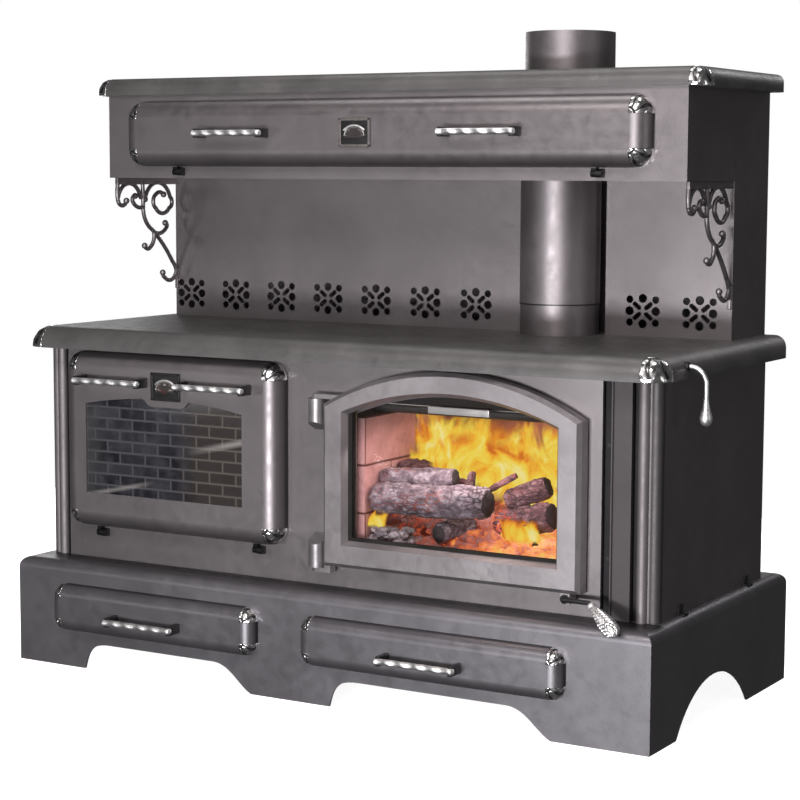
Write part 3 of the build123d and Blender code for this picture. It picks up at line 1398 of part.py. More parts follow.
# ---- damper ---------------------------------------------------------------------------------------------
def make_damper():
    """Crank rod with its pear grip outside, and the flap on the rod under the cooktop."""
    edge = COOKTOP_WIDTH / 2 + 1.0
    bend_x = edge + DAMPER_BEND_R
    bend_z = DAMPER_Z - DAMPER_BEND_R
    route = Line((DAMPER_INNER_X - 6.0, DAMPER_Z), (edge, DAMPER_Z))
    middle = (edge + DAMPER_BEND_R * sin(radians(45)), bend_z + DAMPER_BEND_R * cos(radians(45)))
    bend = ThreePointArc((edge, DAMPER_Z), middle, (bend_x, bend_z))
    drop = Line((bend_x, bend_z), (bend_x, bend_z - DAMPER_DROP))
    path = Plane.XZ.offset(-DAMPER_Y) * (route + bend + drop)
    start = Plane((DAMPER_INNER_X - 6.0, DAMPER_Y, DAMPER_Z), z_dir=(1, 0, 0))
    crank = sweep(start * Circle(DAMPER_ROD_R), path=path)
    grip = Pos(bend_x, DAMPER_Y, bend_z - DAMPER_DROP) * pear(DAMPER_GRIP_L, DAMPER_GRIP_R, DAMPER_ROD_R + 0.8)

    x0 = DAMPER_INNER_X + 8.0 + 4.0
    x1 = x0 + DAMPER_FLAP_W
    sleeve = bar_x(x0, x1, DAMPER_Y, DAMPER_Z, DAMPER_SLEEVE_R)
    half_t = DAMPER_FLAP_T / 2
    flap = sleeve + block(x0, x1, DAMPER_Y - half_t, DAMPER_Y + half_t, DAMPER_Z - DAMPER_FLAP_H, DAMPER_Z)
    flap = flap - bar_x(x0 - 1, x1 + 1, DAMPER_Y, DAMPER_Z, DAMPER_ROD_R)
    return crank, grip, flap


# ---- write every node -----------------------------------------------------------------------------------
cooktop, cooktop_trims = make_cooktop()
hood_slab, slab_trims = make_hood_slab()
riser_left, riser_right = make_riser_panels()
oven_shell, oven_caps, oven_glass, oven_liner, oven_seal = make_oven_door()
warming_shell, warming_caps = make_warming_door()
dial, needle = make_thermometer()
fire_frame, fire_glass, fire_seal = make_fire_door()
latch_lever, latch_grip = make_latch()
storage_front, storage_box, storage_trim = make_drawer(STORAGE_FRONT)
ash_front, ash_box, ash_trim = make_drawer(ASH_FRONT)
damper_crank, damper_grip, damper_flap = make_damper()

oven_centre = (OVEN_DOOR[0] + OVEN_DOOR[1]) / 2
oven_front = DOOR_BACK - DOOR_T
warming_front = WARMING_BACK - DOOR_T
warming_mid_z = (WARMING_DOOR[2] + WARMING_DOOR[3]) / 2
oven_handles = [
    handle(oven_centre + side * OVEN_HANDLE_SPREAD, oven_front, OVEN_HANDLE_Z) for side in (-1, 1)
]
warming_handles = [
    handle(WARMING_TRIM_X + side * WARMING_HANDLE_SPREAD, warming_front, warming_mid_z) for side in (-1, 1)
]

lugs = make_fire_lugs() + [make_latch_stop()]
for outline, wall_y, drop, spread in (
    (OVEN_DOOR, BODY_FRONT, HINGE_DROP, OVEN_HINGE_SPREAD),
    (WARMING_DOOR, HOOD_FRONT, WARMING_HINGE_DROP, WARMING_HINGE_SPREAD),
):
    for side in (-1, 1):
        hinge_x = (outline[0] + outline[1]) / 2 + side * spread
        lugs.extend(hinge_lug_and_pin(hinge_x, wall_y - HINGE_BACK, outline[2] - drop, wall_y))

column_right = make_column(FACADE_RIGHT - COLUMN_LAP, True)
column_left = mirrored(make_column(-FACADE_LEFT - COLUMN_LAP, False))
side_panel = make_side_panel()
hood_side = make_hood_side()
bracket = make_bracket()

nodes = {
    "plinth": make_plinth(),
    "drawer_runners": make_runners(),
    "facade": make_facade(),
    "corner_column_left": column_left,
    "corner_column_right": column_right,
    "side_panel_left": mirrored(side_panel),
    "side_panel_right": side_panel,
    "back_cover": make_back_cover(),
    "body_fasteners": make_fasteners(),
    "cooktop": cooktop,
    "cooktop_corner_trims": group(cooktop_trims),
    "riser_panel_left": riser_left,
    "riser_panel_right": riser_right,
    "pipe_recess": make_pipe_recess(),
    "rear_plate": make_rear_plate(),
    "hood_side_left": mirrored(hood_side),
    "hood_side_right": hood_side,
    "hood_facade": make_hood_facade(),
    "warming_closet": make_warming_closet(),
    "hood_slab": hood_slab,
    "hood_corner_trims": group(slab_trims),
    "scroll_bracket_left": mirrored(bracket),
    "scroll_bracket_right": bracket,
    "flue_spigot": make_spigot(),
    "flue_pipe": make_flue_pipe(),
    "flue_outlet_collar": make_outlet_collar(),
    "oven_box": make_oven_box(),
    "oven_brick_lining": make_oven_bricks(),
    "oven_rack": make_oven_rack(),
    "firebox_shell": group([make_firebox_shell(), make_ash_chute()]),
    "fire_bricks": make_fire_bricks(),
    "fire_grate": make_grate(),
    "baffle_board": make_baffle(),
    "air_tubes": make_air_tubes(),
    "hinge_lugs": group(lugs),
    "oven_door_shell": oven_shell,
    "oven_door_liner": oven_liner,
    "oven_door_glass": oven_glass,
    "oven_door_seal": oven_seal,
    "oven_door_corners": group(oven_caps),
    "oven_door_handles": group(oven_handles),
    "thermometer_dial": dial,
    "thermometer_needle": needle,
    "warming_door_shell": warming_shell,
    "warming_door_trim": group(warming_caps + warming_handles),
    "warming_door_plate": make_warming_plate(),
    "fire_door_frame": fire_frame,
    "fire_door_glass": fire_glass,
    "fire_door_seal": fire_seal,
    "latch_lever": latch_lever,
    "latch_grip": latch_grip,
    "storage_drawer_front": storage_front,
    "storage_drawer_box": storage_box,
    "storage_drawer_trim": group(storage_trim),
    "ash_drawer_front": ash_front,
    "ash_drawer_box": ash_box,
    "ash_drawer_trim": group(ash_trim),
    "damper_crank": damper_crank,
    "damper_grip": damper_grip,
    "damper_flap": damper_flap,
}
for node_name, node_shape in nodes.items():
    save(node_shape, node_name)
print(f"origin at x {ORIGIN_X:.3f}, y {ORIGIN_Y:.3f} of the build frame")
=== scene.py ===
"""Wood cookstove: materials, castings, fire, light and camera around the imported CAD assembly.

Metres in the part's own frame. Places are written in millimetres of the CAD's build frame and
pass through at(): x = 0 on the centreline, y = 0 on the plinth's front, z = 0 on the floor.
"""
import json
import random
from functools import partialmethod
from math import atan2, cos, exp, hypot, pi, radians, sin, sqrt

import bmesh
import bpy
from mathutils import Matrix, Vector, noise


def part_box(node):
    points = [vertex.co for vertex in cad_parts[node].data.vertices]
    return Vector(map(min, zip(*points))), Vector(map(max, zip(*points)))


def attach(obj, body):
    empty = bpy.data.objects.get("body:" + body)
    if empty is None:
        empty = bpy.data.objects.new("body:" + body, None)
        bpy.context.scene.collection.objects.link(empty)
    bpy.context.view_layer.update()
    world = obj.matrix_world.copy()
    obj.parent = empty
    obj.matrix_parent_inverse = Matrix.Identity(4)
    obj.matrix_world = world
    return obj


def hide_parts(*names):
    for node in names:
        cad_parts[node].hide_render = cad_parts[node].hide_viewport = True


MM = 0.001
ORIGIN = Vector((27.25, 355.2, 0))

# ---- viewpoint
CAMERA_PLACE = (2530.6, -3880.5, 1200.4)
CAMERA_YAW = 30.53
CAMERA_PITCH = 6.26
CAMERA_ROLL = 0.23
CAMERA_LENS = 93.85

# ---- handles
BAR_LENGTH = 200
STANDOFF = 42
POST_W = 10
POST_H = 22
HANDLES = (
    # (name, body, CAD node they stand for, and (x, front, z) of each)
    ("oven", "oven_door", "oven_door_handles", ((-572, 43, 700), (-274, 43, 700))),
    ("warming", "warming_door", "warming_door_trim", ((-363, 246.5, 1289), (309, 246.5, 1289))),
    ("storage", "storage_drawer", "storage_drawer_trim", ((-427, -32.4, 140),)),
    ("ash", "ash_drawer", "ash_drawer_trim", ((321, -32.4, 140),)),
)

# ---- gauge plates
PLATE_W = 84
PLATE_H = 66
PLATE_T = 5
PLATE_RIM = 6
DIAL_R = 27
DIAL_DROP = 12
TICKS = 13
OVEN_PLATE = (-423, 43, 693)
WARMING_PLATE = (-27, 246.5, 1289)

# ---- body
PLINTH_TOP = 256
HOOD_HALF = 780
HOOD_BASE = 1181
RISER_FRONT = 567
PIPE_AXIS = (355, 549)
OVEN_WINDOW_CORNER = (-664, 0, 425)
OVEN_LINING_CORNER = (-680, 97, 372)
LARGEST_CAP = 0.12
CAP_DEPTH = 1.9
CAP_VOXEL = 1
FRONT_PLANE, TOP_PLANE = (0, 2), (0, 1)

# ---- latch grip
LATCH_KNEE = (682, 38, 299)
LATCH_TIP = (776, -28, 253)
GRIP_LENGTH = 0.115
GRIP_R = 0.018
GRIP_NECK = 0.008
GRIP_WIRES = 9

# ---- fire
FIRE_FLOOR = 334
FIREBRICK_CORNER = (55, 107, 316)
FIREBRICK_L = 229
FIREBRICK_H = 110

# ---- studio
FLOOR_HALF = 2.6
WORLD_GLOW = 0.065

# ---- paint
BODY_TONES = (0.173, 0.157, 0.161), (0.236, 0.215, 0.219)
BASE_TONES = (0.165, 0.157, 0.168), (0.225, 0.215, 0.229)
PAINT_METAL = 0.85
PEEL = 0.00012
SAND = 0.0003


def at(x, y, z):
    """Point of the part's frame, in metres, of a build-frame point in millimetres."""
    return (Vector((x, y, z)) - ORIGIN) * MM


def local(axis, value):
    """One coordinate of the part's frame, in metres, of a build-frame coordinate in millimetres."""
    return (value - ORIGIN["XYZ".index(axis)]) * MM


# ---- materials
class Shade:
    """A Principled material under construction, with short calls for its nodes."""

    def __init__(self, name, color, rough, metal=0):
        self.material = bpy.data.materials.new(name)
        self.material.use_nodes = True
        self.tree = self.material.node_tree
        self.shader = self.tree.nodes["Principled BSDF"]
        self.put("Base Color", color)
        self.put("Roughness", rough)
        self.put("Metallic", metal)
        coords = self.tree.nodes.new("ShaderNodeTexCoord").outputs
        self.coords, self.uv = coords["Object"], coords["UV"]

    def feed(self, socket, value):
        """Links a node's output to a socket, or sets the socket's value."""
        if isinstance(value, bpy.types.NodeSocket):
            self.tree.links.new(value, socket)
        else:
            socket.default_value = (*value, 1) if socket.type == "RGBA" else value

    def put(self, name, value):
        """Feeds a socket of the shader."""
        self.feed(self.shader.inputs[name], value)

    def tint(self, value):
        self.put("Base Color", value)

    def glow(self, color, strength):
        self.put("Emission Color", color)
        self.put("Emission Strength", strength)

    def node(self, kind, **inputs):
        """New node with its inputs fed; an underscore stands for a space."""
        node = self.tree.nodes.new("ShaderNode" + kind)
        for name, value in inputs.items():
            self.feed(node.inputs[name.replace("_", " ")], value)
        return node

    def mapped(self, scale, shift=(0, 0, 0)):
        return self.node("Mapping", Scale=scale, Location=shift, Vector=self.coords).outputs["Vector"]

    def noise(self, scale, detail=4, rough=0.55, vector=None, swirl=0):
        node = self.node("TexNoise", Scale=scale, Detail=detail, Roughness=rough, Distortion=swirl)
        self.feed(node.inputs["Vector"], vector or self.coords)
        return node.outputs["Fac"]

    def ramp(self, source, stops):
        node = self.node("ValToRGB", Fac=source)
        elements = node.color_ramp.elements
        while len(elements) < len(stops):
            elements.new(0.5)
        for element, (place, color) in zip(elements, stops):
            element.position = place
            element.color = (*color, 1)
        return node.outputs["Color"]

    def mottle(self, source, *stops):
        """Base colour by a ramp over a source."""
        self.tint(self.ramp(source, stops))

    def span(self, source, low, high, out_low, out_high):
        node = self.node("MapRange", Value=source, From_Min=low, From_Max=high, To_Min=out_low, To_Max=out_high)
        return node.outputs["Result"]

    def fade(self, axis, start, end, first, last):
        """Runs from first to last between two build-frame places along an axis."""
        return self.span(self.axis(axis), local(axis, start), local(axis, end), first, last)

    def worn(self, scale, detail, low, high):
        """Roughness that wanders between two values."""
        self.put("Roughness", self.span(self.noise(scale, detail), 0.3, 0.7, low, high))

    def calc(self, operation, *values):
        node = self.node("Math")
        node.operation = operation
        for socket, value in zip(node.inputs, values):
            self.feed(socket, value)
        return node.outputs["Value"]

    times = partialmethod(calc, "MULTIPLY")
    plus = partialmethod(calc, "ADD")
    minus = partialmethod(calc, "SUBTRACT")
    above = partialmethod(calc, "GREATER_THAN")
    below = partialmethod(calc, "LESS_THAN")
    most = partialmethod(calc, "MAXIMUM")
    least = partialmethod(calc, "MINIMUM")
    rest = partialmethod(calc, "MODULO")
    size = partialmethod(calc, "ABSOLUTE")

    def split(self, vector=None):
        return self.node("SeparateXYZ", Vector=vector or self.coords).outputs

    def axis(self, name):
        return self.split()[name]

    def mix(self, factor, first, second):
        node = self.node("Mix")
        node.data_type = "RGBA"
        for socket, value in ((0, factor), (6, first), (7, second)):
            self.feed(node.inputs[socket], value)
        return node.outputs[2]

    def bump(self, height, distance, strength=1, after=None):
        node = self.node("Bump", Height=height, Distance=distance, Strength=strength)
        if after is not None:
            self.feed(node.inputs["Normal"], after)
        self.put("Normal", node.outputs["Normal"])
        return node.outputs["Normal"]

    def sprayed(self, tones):
        """Cloudy paint colour with fine sparkle, and the sparkle itself."""
        fleck = self.noise(1900, 2)
        tone = self.plus(self.times(self.noise(5, 6), 0.62), self.times(fleck, 0.38))
        return self.ramp(tone, ((0.34, tones[0]), (0.66, tones[1]))), fleck

    def unrolled(self, corner, shift=0):
        """Distance along the walls and height, from a corner of the lining."""
        low = at(*corner)
        place = self.split(self.mapped((1, 1, 1), (shift - low.x, shift - low.y, -low.z)))
        normal = self.split(self.node("NewGeometry").outputs["Normal"])
        sideways = self.above(self.size(normal["X"]), 0.6)
        ahead = self.times(place["X"], self.minus(1, sideways))
        return self.plus(self.times(place["Y"], sideways), ahead), place["Z"]

    def bricks(self, along, height, size, mortar, smooth, tones):
        """Bricks in running bond: their colour, and 1 on the joints."""
        place = self.node("CombineXYZ", X=along, Y=height).outputs["Vector"]
        node = self.node(
            "TexBrick", Vector=place, Scale=1, Bias=0, Mortar_Size=mortar, Mortar_Smooth=smooth,
            Brick_Width=size[0], Row_Height=size[1], Color1=tones[0], Color2=tones[1], Mortar=tones[2],
        )
        return node.outputs["Color"], node.outputs["Fac"]


def satin_paint(name, tones=BODY_TONES, rough=0.43, black_below=None, shaded_deck=False, gap_shade_at=None):
    """Sprayed metallic paint: cloudy tone, fine sparkle and a slight orange peel; optionally painted shade along
    a shell's back edge and a painted contact shadow on the plinth's deck.
    """
    mat = Shade(name, tones[0], rough, PAINT_METAL)
    color, fleck = mat.sprayed(tones)
    if black_below is not None:
        ears = mat.below(mat.axis("Z"), black_below * MM)
        color = mat.mix(ears, color, (0.02, 0.02, 0.021))
    # Painted shade: the shell turns nearly black just in front of its back edge, where it meets the wall.
    if gap_shade_at is not None:
        painted_gap_shade = mat.span(mat.axis("Y"), gap_shade_at - 18 * MM, gap_shade_at - 6 * MM, 0, 0.92)
        color = mat.mix(painted_gap_shade, color, (0.012, 0.0117, 0.012))
    # Painted shade and reflection: the back of the plinth's deck darkens towards the facade, a painted contact
    # shadow.
    if shaded_deck:
        flat = mat.above(mat.axis("Z"), (PLINTH_TOP - 4) * MM)
        ahead = mat.below(mat.axis("Y"), local("Y", 95))
        painted_deck_shade = mat.times(mat.fade("Y", 14, 60, 0, 0.9), mat.times(flat, ahead))
        color = mat.mix(painted_deck_shade, color, (0.02, 0.0195, 0.02))
    mat.tint(color)
    mat.worn(38, 5, rough - 0.05, rough + 0.06)
    peel = mat.bump(mat.noise(230, 3), PEEL)
    mat.bump(fleck, PEEL * 0.4, 1, peel)
    return mat.material


def grooved_paint(name):
    """The body's paint on the corner columns, with painted shade: nearly black deep in their grooves, and darker
    on the flat band and the corner round.
    """
    mat = Shade(name, BODY_TONES[0], 0.43, PAINT_METAL)
    x = mat.axis("X")
    # Painted shade: nearly black deep in the grooves on the front.
    painted_groove_shade = mat.fade("Y", 94, 102, 0, 1)
    front = mat.below(mat.size(mat.plus(x, ORIGIN.x * MM)), 0.789)
    # Painted shade: the flat band and the corner round are darkened.
    band = mat.times(mat.above(x, local("X", 701)), mat.below(x, local("X", 757)))
    corner = mat.fade("X", 791, 797, 0, 1)
    painted_band_shade = mat.times(mat.most(band, corner), 0.62)
    color = mat.mix(painted_band_shade, mat.sprayed(BODY_TONES)[0], (0.04, 0.038, 0.04))
    mat.tint(mat.mix(mat.times(painted_groove_shade, front), color, (0.022, 0.021, 0.022)))
    mat.worn(38, 5, 0.56, 0.66)
    mat.bump(mat.noise(230, 3), PEEL)
    return mat.material


def hinge_iron(name):
    """Pale casting on the fire door's lugs, black on the small lugs of the drop-down doors."""
    mat = Shade(name, (0.2, 0.19, 0.195), 0.42, 0.7)
    pale = mat.ramp(mat.noise(30, 6), ((0.3, (0.17, 0.162, 0.165)), (0.7, (0.26, 0.25, 0.252))))
    black = mat.above(mat.size(mat.minus(mat.axis("X"), local("X", -16))), 0.035)
    mat.tint(mat.mix(black, pale, (0.018, 0.018, 0.019)))
    mat.bump(mat.noise(500, 4), 0.0002)
    return mat.material


def cast_iron(name, dark, light, rough, metal):
    """Painted casting: sand texture under satin paint."""
    mat = Shade(name, dark, rough, metal)
    mat.mottle(mat.noise(9, 7), (0.32, dark), (0.7, light))
    mat.worn(60, 4, rough - 0.07, rough + 0.08)
    sand = mat.bump(mat.noise(620, 5, 0.7), SAND)
    mat.bump(mat.noise(45, 2), SAND * 1.5, 1, sand)
    return mat.material


def bright_casting(name, rough, wave, carved=False):
    """Plated casting: mirror metal with the soft waves of its pattern; carved ones are darker in their recesses
    with painted shade, and duller there.
    """
    mat = Shade(name, (0.86, 0.85, 0.83), rough, 1)
    color = mat.ramp(mat.noise(70, 4), ((0.3, (0.66, 0.655, 0.65)), (0.62, (0.88, 0.87, 0.86))))
    gloss = mat.span(mat.noise(160, 4), 0.3, 0.7, rough - 0.03, rough + 0.08)
    if carved:
        # Painted shade: the carved recesses are darkened, and made rougher.
        attribute = mat.node("Attribute")
        attribute.attribute_name = "recess"
        recess = attribute.outputs["Fac"]
        color = mat.mix(recess, color, (0.035, 0.034, 0.035))
        gloss = mat.plus(gloss, mat.times(recess, 0.35))
    mat.tint(color)
    mat.put("Roughness", gloss)
    mat.bump(mat.noise(120, 2), wave)
    return mat.material


def plain_steel(name, dark, light, rough, metal):
    """Sheet or rod with mill marks and handling haze."""
    mat = Shade(name, dark, rough, metal)
    brushed = mat.noise(40, 6, 0.6, mat.mapped((1, 1, 14)))
    mat.mottle(brushed, (0.3, dark), (0.72, light))
    mat.worn(25, 5, rough - 0.08, rough + 0.1)
    mat.bump(brushed, 0.00008)
    return mat.material


def mottled(name, base, rough, cloud, stops, grain=None, metal=0):
    """Cloudy colour; grain is the noise of the bump, with its height last."""
    mat = Shade(name, base, rough, metal)
    mat.mottle(mat.noise(*cloud), *stops)
    if grain:
        mat.bump(mat.noise(*grain[:-1]), grain[-1])
    return mat.material


def rope_weave():
    """Braided glass rope."""
    mat = Shade("rope_seal", (0.17, 0.165, 0.155), 0.92)
    wave = mat.node("TexWave", Scale=120, Distortion=2, Vector=mat.coords)
    wave.wave_type = "BANDS"
    wave.bands_direction = "DIAGONAL"
    strands = wave.outputs["Fac"]
    mat.mottle(strands, (0.15, (0.07, 0.068, 0.062)), (0.8, (0.25, 0.24, 0.22)))
    mat.bump(strands, 0.0012)
    mat.put("Sheen Weight", 0.3)
    return mat.material


def fire_clay():
    """Firebrick: pink clay, dark red joints, soot at the top, and pits."""
    mat = Shade("firebrick", (0.5, 0.4, 0.4), 0.93)
    clay = mat.ramp(
        mat.noise(22, 7, 0.65),
        ((0.28, (0.35, 0.17, 0.165)), (0.5, (0.54, 0.27, 0.262)), (0.74, (0.7, 0.38, 0.36))),
    )
    along, height = mat.unrolled(FIREBRICK_CORNER)
    course = mat.rest(height, FIREBRICK_H * MM)
    odd = mat.above(mat.rest(height, 2 * FIREBRICK_H * MM), FIREBRICK_H * MM)
    moved = mat.plus(along, mat.times(odd, 0.5 * FIREBRICK_L * MM))
    near = mat.least(course, mat.rest(moved, FIREBRICK_L * MM))
    joint = mat.times(mat.span(near, 0.0025, 0.006, 1, 0), mat.above(near, 0))
    jointed = mat.mix(joint, clay, (0.11, 0.025, 0.02))
    smoke = mat.span(mat.noise(11, 6), 0.4, 0.75, -0.1, 0.25)
    soot = mat.plus(mat.fade("Z", 600, 700, 0, 0.85), smoke)
    mat.tint(mat.mix(soot, jointed, (0.045, 0.038, 0.035)))
    mat.bump(mat.noise(190, 6, 0.7), 0.0016)
    return mat.material


def oven_brick():
    """Dark bricks with thin pale joints that follow those cut in the lining, turning browner towards the right as
    a painted reflection.
    """
    mat = Shade("dark_brick", (0.09, 0.09, 0.095), 0.8)
    tones = (0.035, 0.035, 0.038), (0.11, 0.105, 0.105), (0.34, 0.32, 0.3)
    color, joint = mat.bricks(*mat.unrolled(OVEN_LINING_CORNER, 0.04), (0.08, 0.037), 0.0019, 0.3, tones)
    body = mat.mix(mat.noise(55, 6), color, (0.06, 0.06, 0.062))
    # Painted reflection: the bricks and joints turn browner towards the right.
    reflected_brown = mat.mix(joint, (0.17, 0.115, 0.085), (0.46, 0.37, 0.28))
    mat.tint(mat.mix(mat.fade("X", -430, -330, 0, 0.75), body, reflected_brown))
    mat.bump(mat.noise(240, 5), 0.0009)
    return mat.material


def stove_glass():
    """Thinly smoked pane with a black border along its left and its foot."""
    mat = Shade("door_glass", (0.03, 0.028, 0.026), 0.05)
    mat.mottle(mat.noise(7, 5), (0.3, (0.012, 0.011, 0.01)), (0.75, (0.03, 0.028, 0.026)))
    left = mat.fade("X", 81, 82.5, 1, 0)
    foot = mat.fade("Z", 378.5, 379.5, 1, 0)
    mat.put("Alpha", mat.span(mat.most(left, foot), 0, 1, 0.1, 1))
    mat.put("IOR", 1.47)
    mat.bump(mat.noise(3, 1), 0.0004)
    return mat.material


def painted_brick_reflection():
    """Oven pane painted with a reflection of a dark brick wall, browner on the right, with two painted streaks of
    light.
    """
    mat = Shade("oven_glass", (0.05, 0.05, 0.055), 0.07)
    # The whole brick pattern is a painted reflection on the pane.
    low = at(*OVEN_WINDOW_CORNER)
    place = mat.split(mat.mapped((1, 1, 1), (0.05 - low.x, 0, 0.006 - low.z)))
    tones = (0.008, 0.008, 0.011), (0.03, 0.03, 0.036), (0.07, 0.067, 0.072)
    color, joint = mat.bricks(place["X"], place["Z"], (0.075, 0.027), 0.0042, 1, tones)
    patchy = mat.mix(mat.span(mat.noise(30, 5), 0.45, 0.7, 0, 0.7), color, (0.05, 0.05, 0.058))
    # Painted reflection: browner towards the right.
    reflected_brown = mat.mix(joint, (0.036, 0.03, 0.027), (0.095, 0.082, 0.071))
    body = mat.mix(mat.fade("X", -400, -330, 0, 0.85), patchy, reflected_brown)
    # The painted reflection fades to a grey haze towards the left.
    cloud = mat.span(mat.noise(9, 3), 0.35, 0.6, 0.5, 1)
    haze = mat.times(mat.fade("X", -600, -660, 0, 0.8), cloud)
    hazy = mat.mix(haze, body, (0.05, 0.05, 0.052))
    # Painted highlights: two slanted streaks of light across the pane.
    slope = mat.minus(mat.axis("Z"), mat.times(mat.axis("X"), 0.22))

    def painted_streak(height, half, strength, start, end):
        """Slanted painted streak of light at a height of the pane, fading in between two places along x."""
        beside = mat.size(mat.minus(slope, height))
        return mat.times(mat.span(beside, 0, half, strength, 0), mat.fade("X", start, end, 0, 1))

    high = painted_streak(0.627, 0.011, 0.75, -370, -250)
    light = mat.most(high, painted_streak(0.57, 0.008, 0.5, -460, -520))
    mat.tint(mat.mix(light, hazy, (0.3, 0.28, 0.265)))
    mat.put("Alpha", mat.span(joint, 0, 1, 0.8, 0.86))
    mat.put("IOR", 1.47)
    mat.bump(mat.noise(3, 1), 0.0004)
    return mat.material


def bark(name, dark, middle, ash, glow):
    """Burning wood: crust split in blocks along the grain, with a dull glow in some splits."""
    mat = Shade(name, middle, 0.95)
    crust = mat.ramp(mat.noise(48, 8, 0.72), ((0.3, dark), (0.5, middle), (0.72, ash)))
    cells = mat.node("TexVoronoi", Vector=mat.mapped((0.62, 1.3, 1.5)), Scale=58)
    cells.feature = "DISTANCE_TO_EDGE"
    blocks = cells.outputs["Distance"]
    split = mat.span(blocks, 0, 0.14, 1, 0)
    patch = mat.span(mat.noise(11, 4), 0.42, 0.6, 0.25, 1)
    mat.tint(mat.mix(mat.times(split, patch), crust, (0.025, 0.014, 0.016)))
    hot = mat.times(split, mat.span(mat.noise(9, 4), 0.5, 0.68, 0, 1))
    embers = (0.1, (0, 0, 0)), (0.6, (0.6, 0.06, 0.015)), (1, (1, 0.3, 0.06))
    mat.glow(mat.ramp(hot, embers), glow)
    rough = mat.bump(mat.noise(130, 7, 0.7), 0.0025)
    mat.bump(blocks, 0.004, 0.8, rough)
    return mat.material


def glowing_coal():
    """Coals: pink-grey crust over orange, hotter towards the right."""
    mat = Shade("glowing_coal", (0.2, 0.12, 0.11), 0.95)
    crust = mat.noise(70, 7, 0.7)
    mat.mottle(crust, (0.35, (0.03, 0.012, 0.012)), (0.55, (0.3, 0.15, 0.14)), (0.75, (0.62, 0.45, 0.43)))
    broken = mat.plus(mat.times(crust, 0.6), mat.times(mat.noise(24, 4), 0.4))
    level = mat.minus(broken, mat.fade("X", 300, 440, -0.09, 0.07))
    glow = (
        (0.36, (1, 0.62, 0.14)), (0.46, (0.95, 0.25, 0.04)),
        (0.54, (0.35, 0.05, 0.02)), (0.64, (0.02, 0.003, 0.002)),
    )
    mat.glow(mat.ramp(level, glow), 0.95)
    mat.bump(crust, 0.003)
    return mat.material


def flame_light():
    """Sheet of fire: rolling yellow and orange, ragged at the top and faded by its own UV."""
    mat = Shade("flame", (0, 0, 0), 1)
    place = mat.split(mat.uv)
    side = mat.size(mat.minus(mat.times(place["X"], 2), 1))
    licks = mat.noise(13, 4, 0.55, mat.mapped((1, 1, 0.6)), 0.8)
    ragged = mat.times(mat.minus(licks, 0.46), 2.6)
    inside = mat.span(side, 0.55, 1, 1, -0.6)
    up = mat.span(place["Y"], 0.45, 1, 1, -0.5)
    foot = mat.span(place["Y"], 0, 0.14, 0, 1)
    body = mat.plus(mat.least(inside, up), ragged)
    tone = mat.noise(17, 4, 0.55, mat.mapped((1, 1, 0.8), (3.1, 0.7, 1.9)), 1.1)
    level = mat.plus(tone, mat.span(body, 0.2, 1.3, -0.1, 0.05))
    colors = (
        (0.28, (0.7, 0.17, 0.02)), (0.37, (0.95, 0.36, 0.03)), (0.45, (1, 0.58, 0.05)),
        (0.54, (1, 0.75, 0.09)), (0.66, (1, 0.87, 0.33)),
    )
    mat.glow(mat.ramp(level, colors), 1)
    mat.put("Specular IOR Level", 0)
    mat.put("Alpha", mat.times(mat.span(body, 0.1, 0.55, 0, 0.96), foot))
    return mat.material


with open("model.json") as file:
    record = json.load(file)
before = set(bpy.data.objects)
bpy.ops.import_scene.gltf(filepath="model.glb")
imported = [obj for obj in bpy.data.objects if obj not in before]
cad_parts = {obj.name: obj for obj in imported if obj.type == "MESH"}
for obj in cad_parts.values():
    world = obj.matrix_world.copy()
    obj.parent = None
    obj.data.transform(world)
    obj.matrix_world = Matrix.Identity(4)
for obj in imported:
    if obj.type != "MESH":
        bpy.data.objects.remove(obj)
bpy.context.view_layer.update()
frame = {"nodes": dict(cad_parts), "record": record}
nodes = frame["nodes"]

BLACK = plain_steel("black_steel", (0.012, 0.012, 0.013), (0.035, 0.034, 0.034), 0.4, 0.6)
PALE_STEEL = plain_steel("pale_steel", (0.5, 0.48, 0.47), (0.72, 0.7, 0.68), 0.35, 0.6)
CASTING = bright_casting("carved_trim", 0.16, 0.0003, True)
PLATING = bright_casting("handle_trim", 0.42, 0.0004)
BRONZE = mottled(
    "dial_bronze", (0.1, 0.05, 0.035), 0.42, (260, 6),
    ((0.3, (0.03, 0.026, 0.025)), (0.7, (0.07, 0.06, 0.056))), (700, 3, 0.0001), 0.6,
)
INK = mottled(
    "dial_ink", (0.4, 0.37, 0.34), 0.6, (900, 3),
    ((0.3, (0.28, 0.26, 0.24)), (0.7, (0.46, 0.43, 0.4))),
)
ASHY_BARK = bark("ashy_bark", (0.035, 0.022, 0.03), (0.19, 0.14, 0.165), (0.5, 0.43, 0.47), 0.35)
RED_BARK = bark("red_bark", (0.025, 0.01, 0.014), (0.14, 0.06, 0.068), (0.36, 0.23, 0.25), 1.3)
LOG_END = mottled(
    "log_end", (0.05, 0.03, 0.022), 0.95, (70, 6),
    ((0.3, (0.008, 0.006, 0.007)), (0.75, (0.05, 0.032, 0.035))), (150, 6, 0.002),
)
ASH = mottled(
    "ash_flake", (0.4, 0.36, 0.38), 0.98, (60, 7, 0.7),
    ((0.3, (0.05, 0.035, 0.04)), (0.5, (0.27, 0.22, 0.24)), (0.72, (0.6, 0.54, 0.56))), (210, 6, 0.7, 0.002),
)
PALE_FLOOR = mottled(
    "pale_floor", (0.93, 0.93, 0.93), 0.85, (1.5, 3),
    ((0.3, (0.91, 0.91, 0.91)), (0.7, (0.945, 0.945, 0.945))),
)
COAL = glowing_coal()
FLAME = flame_light()

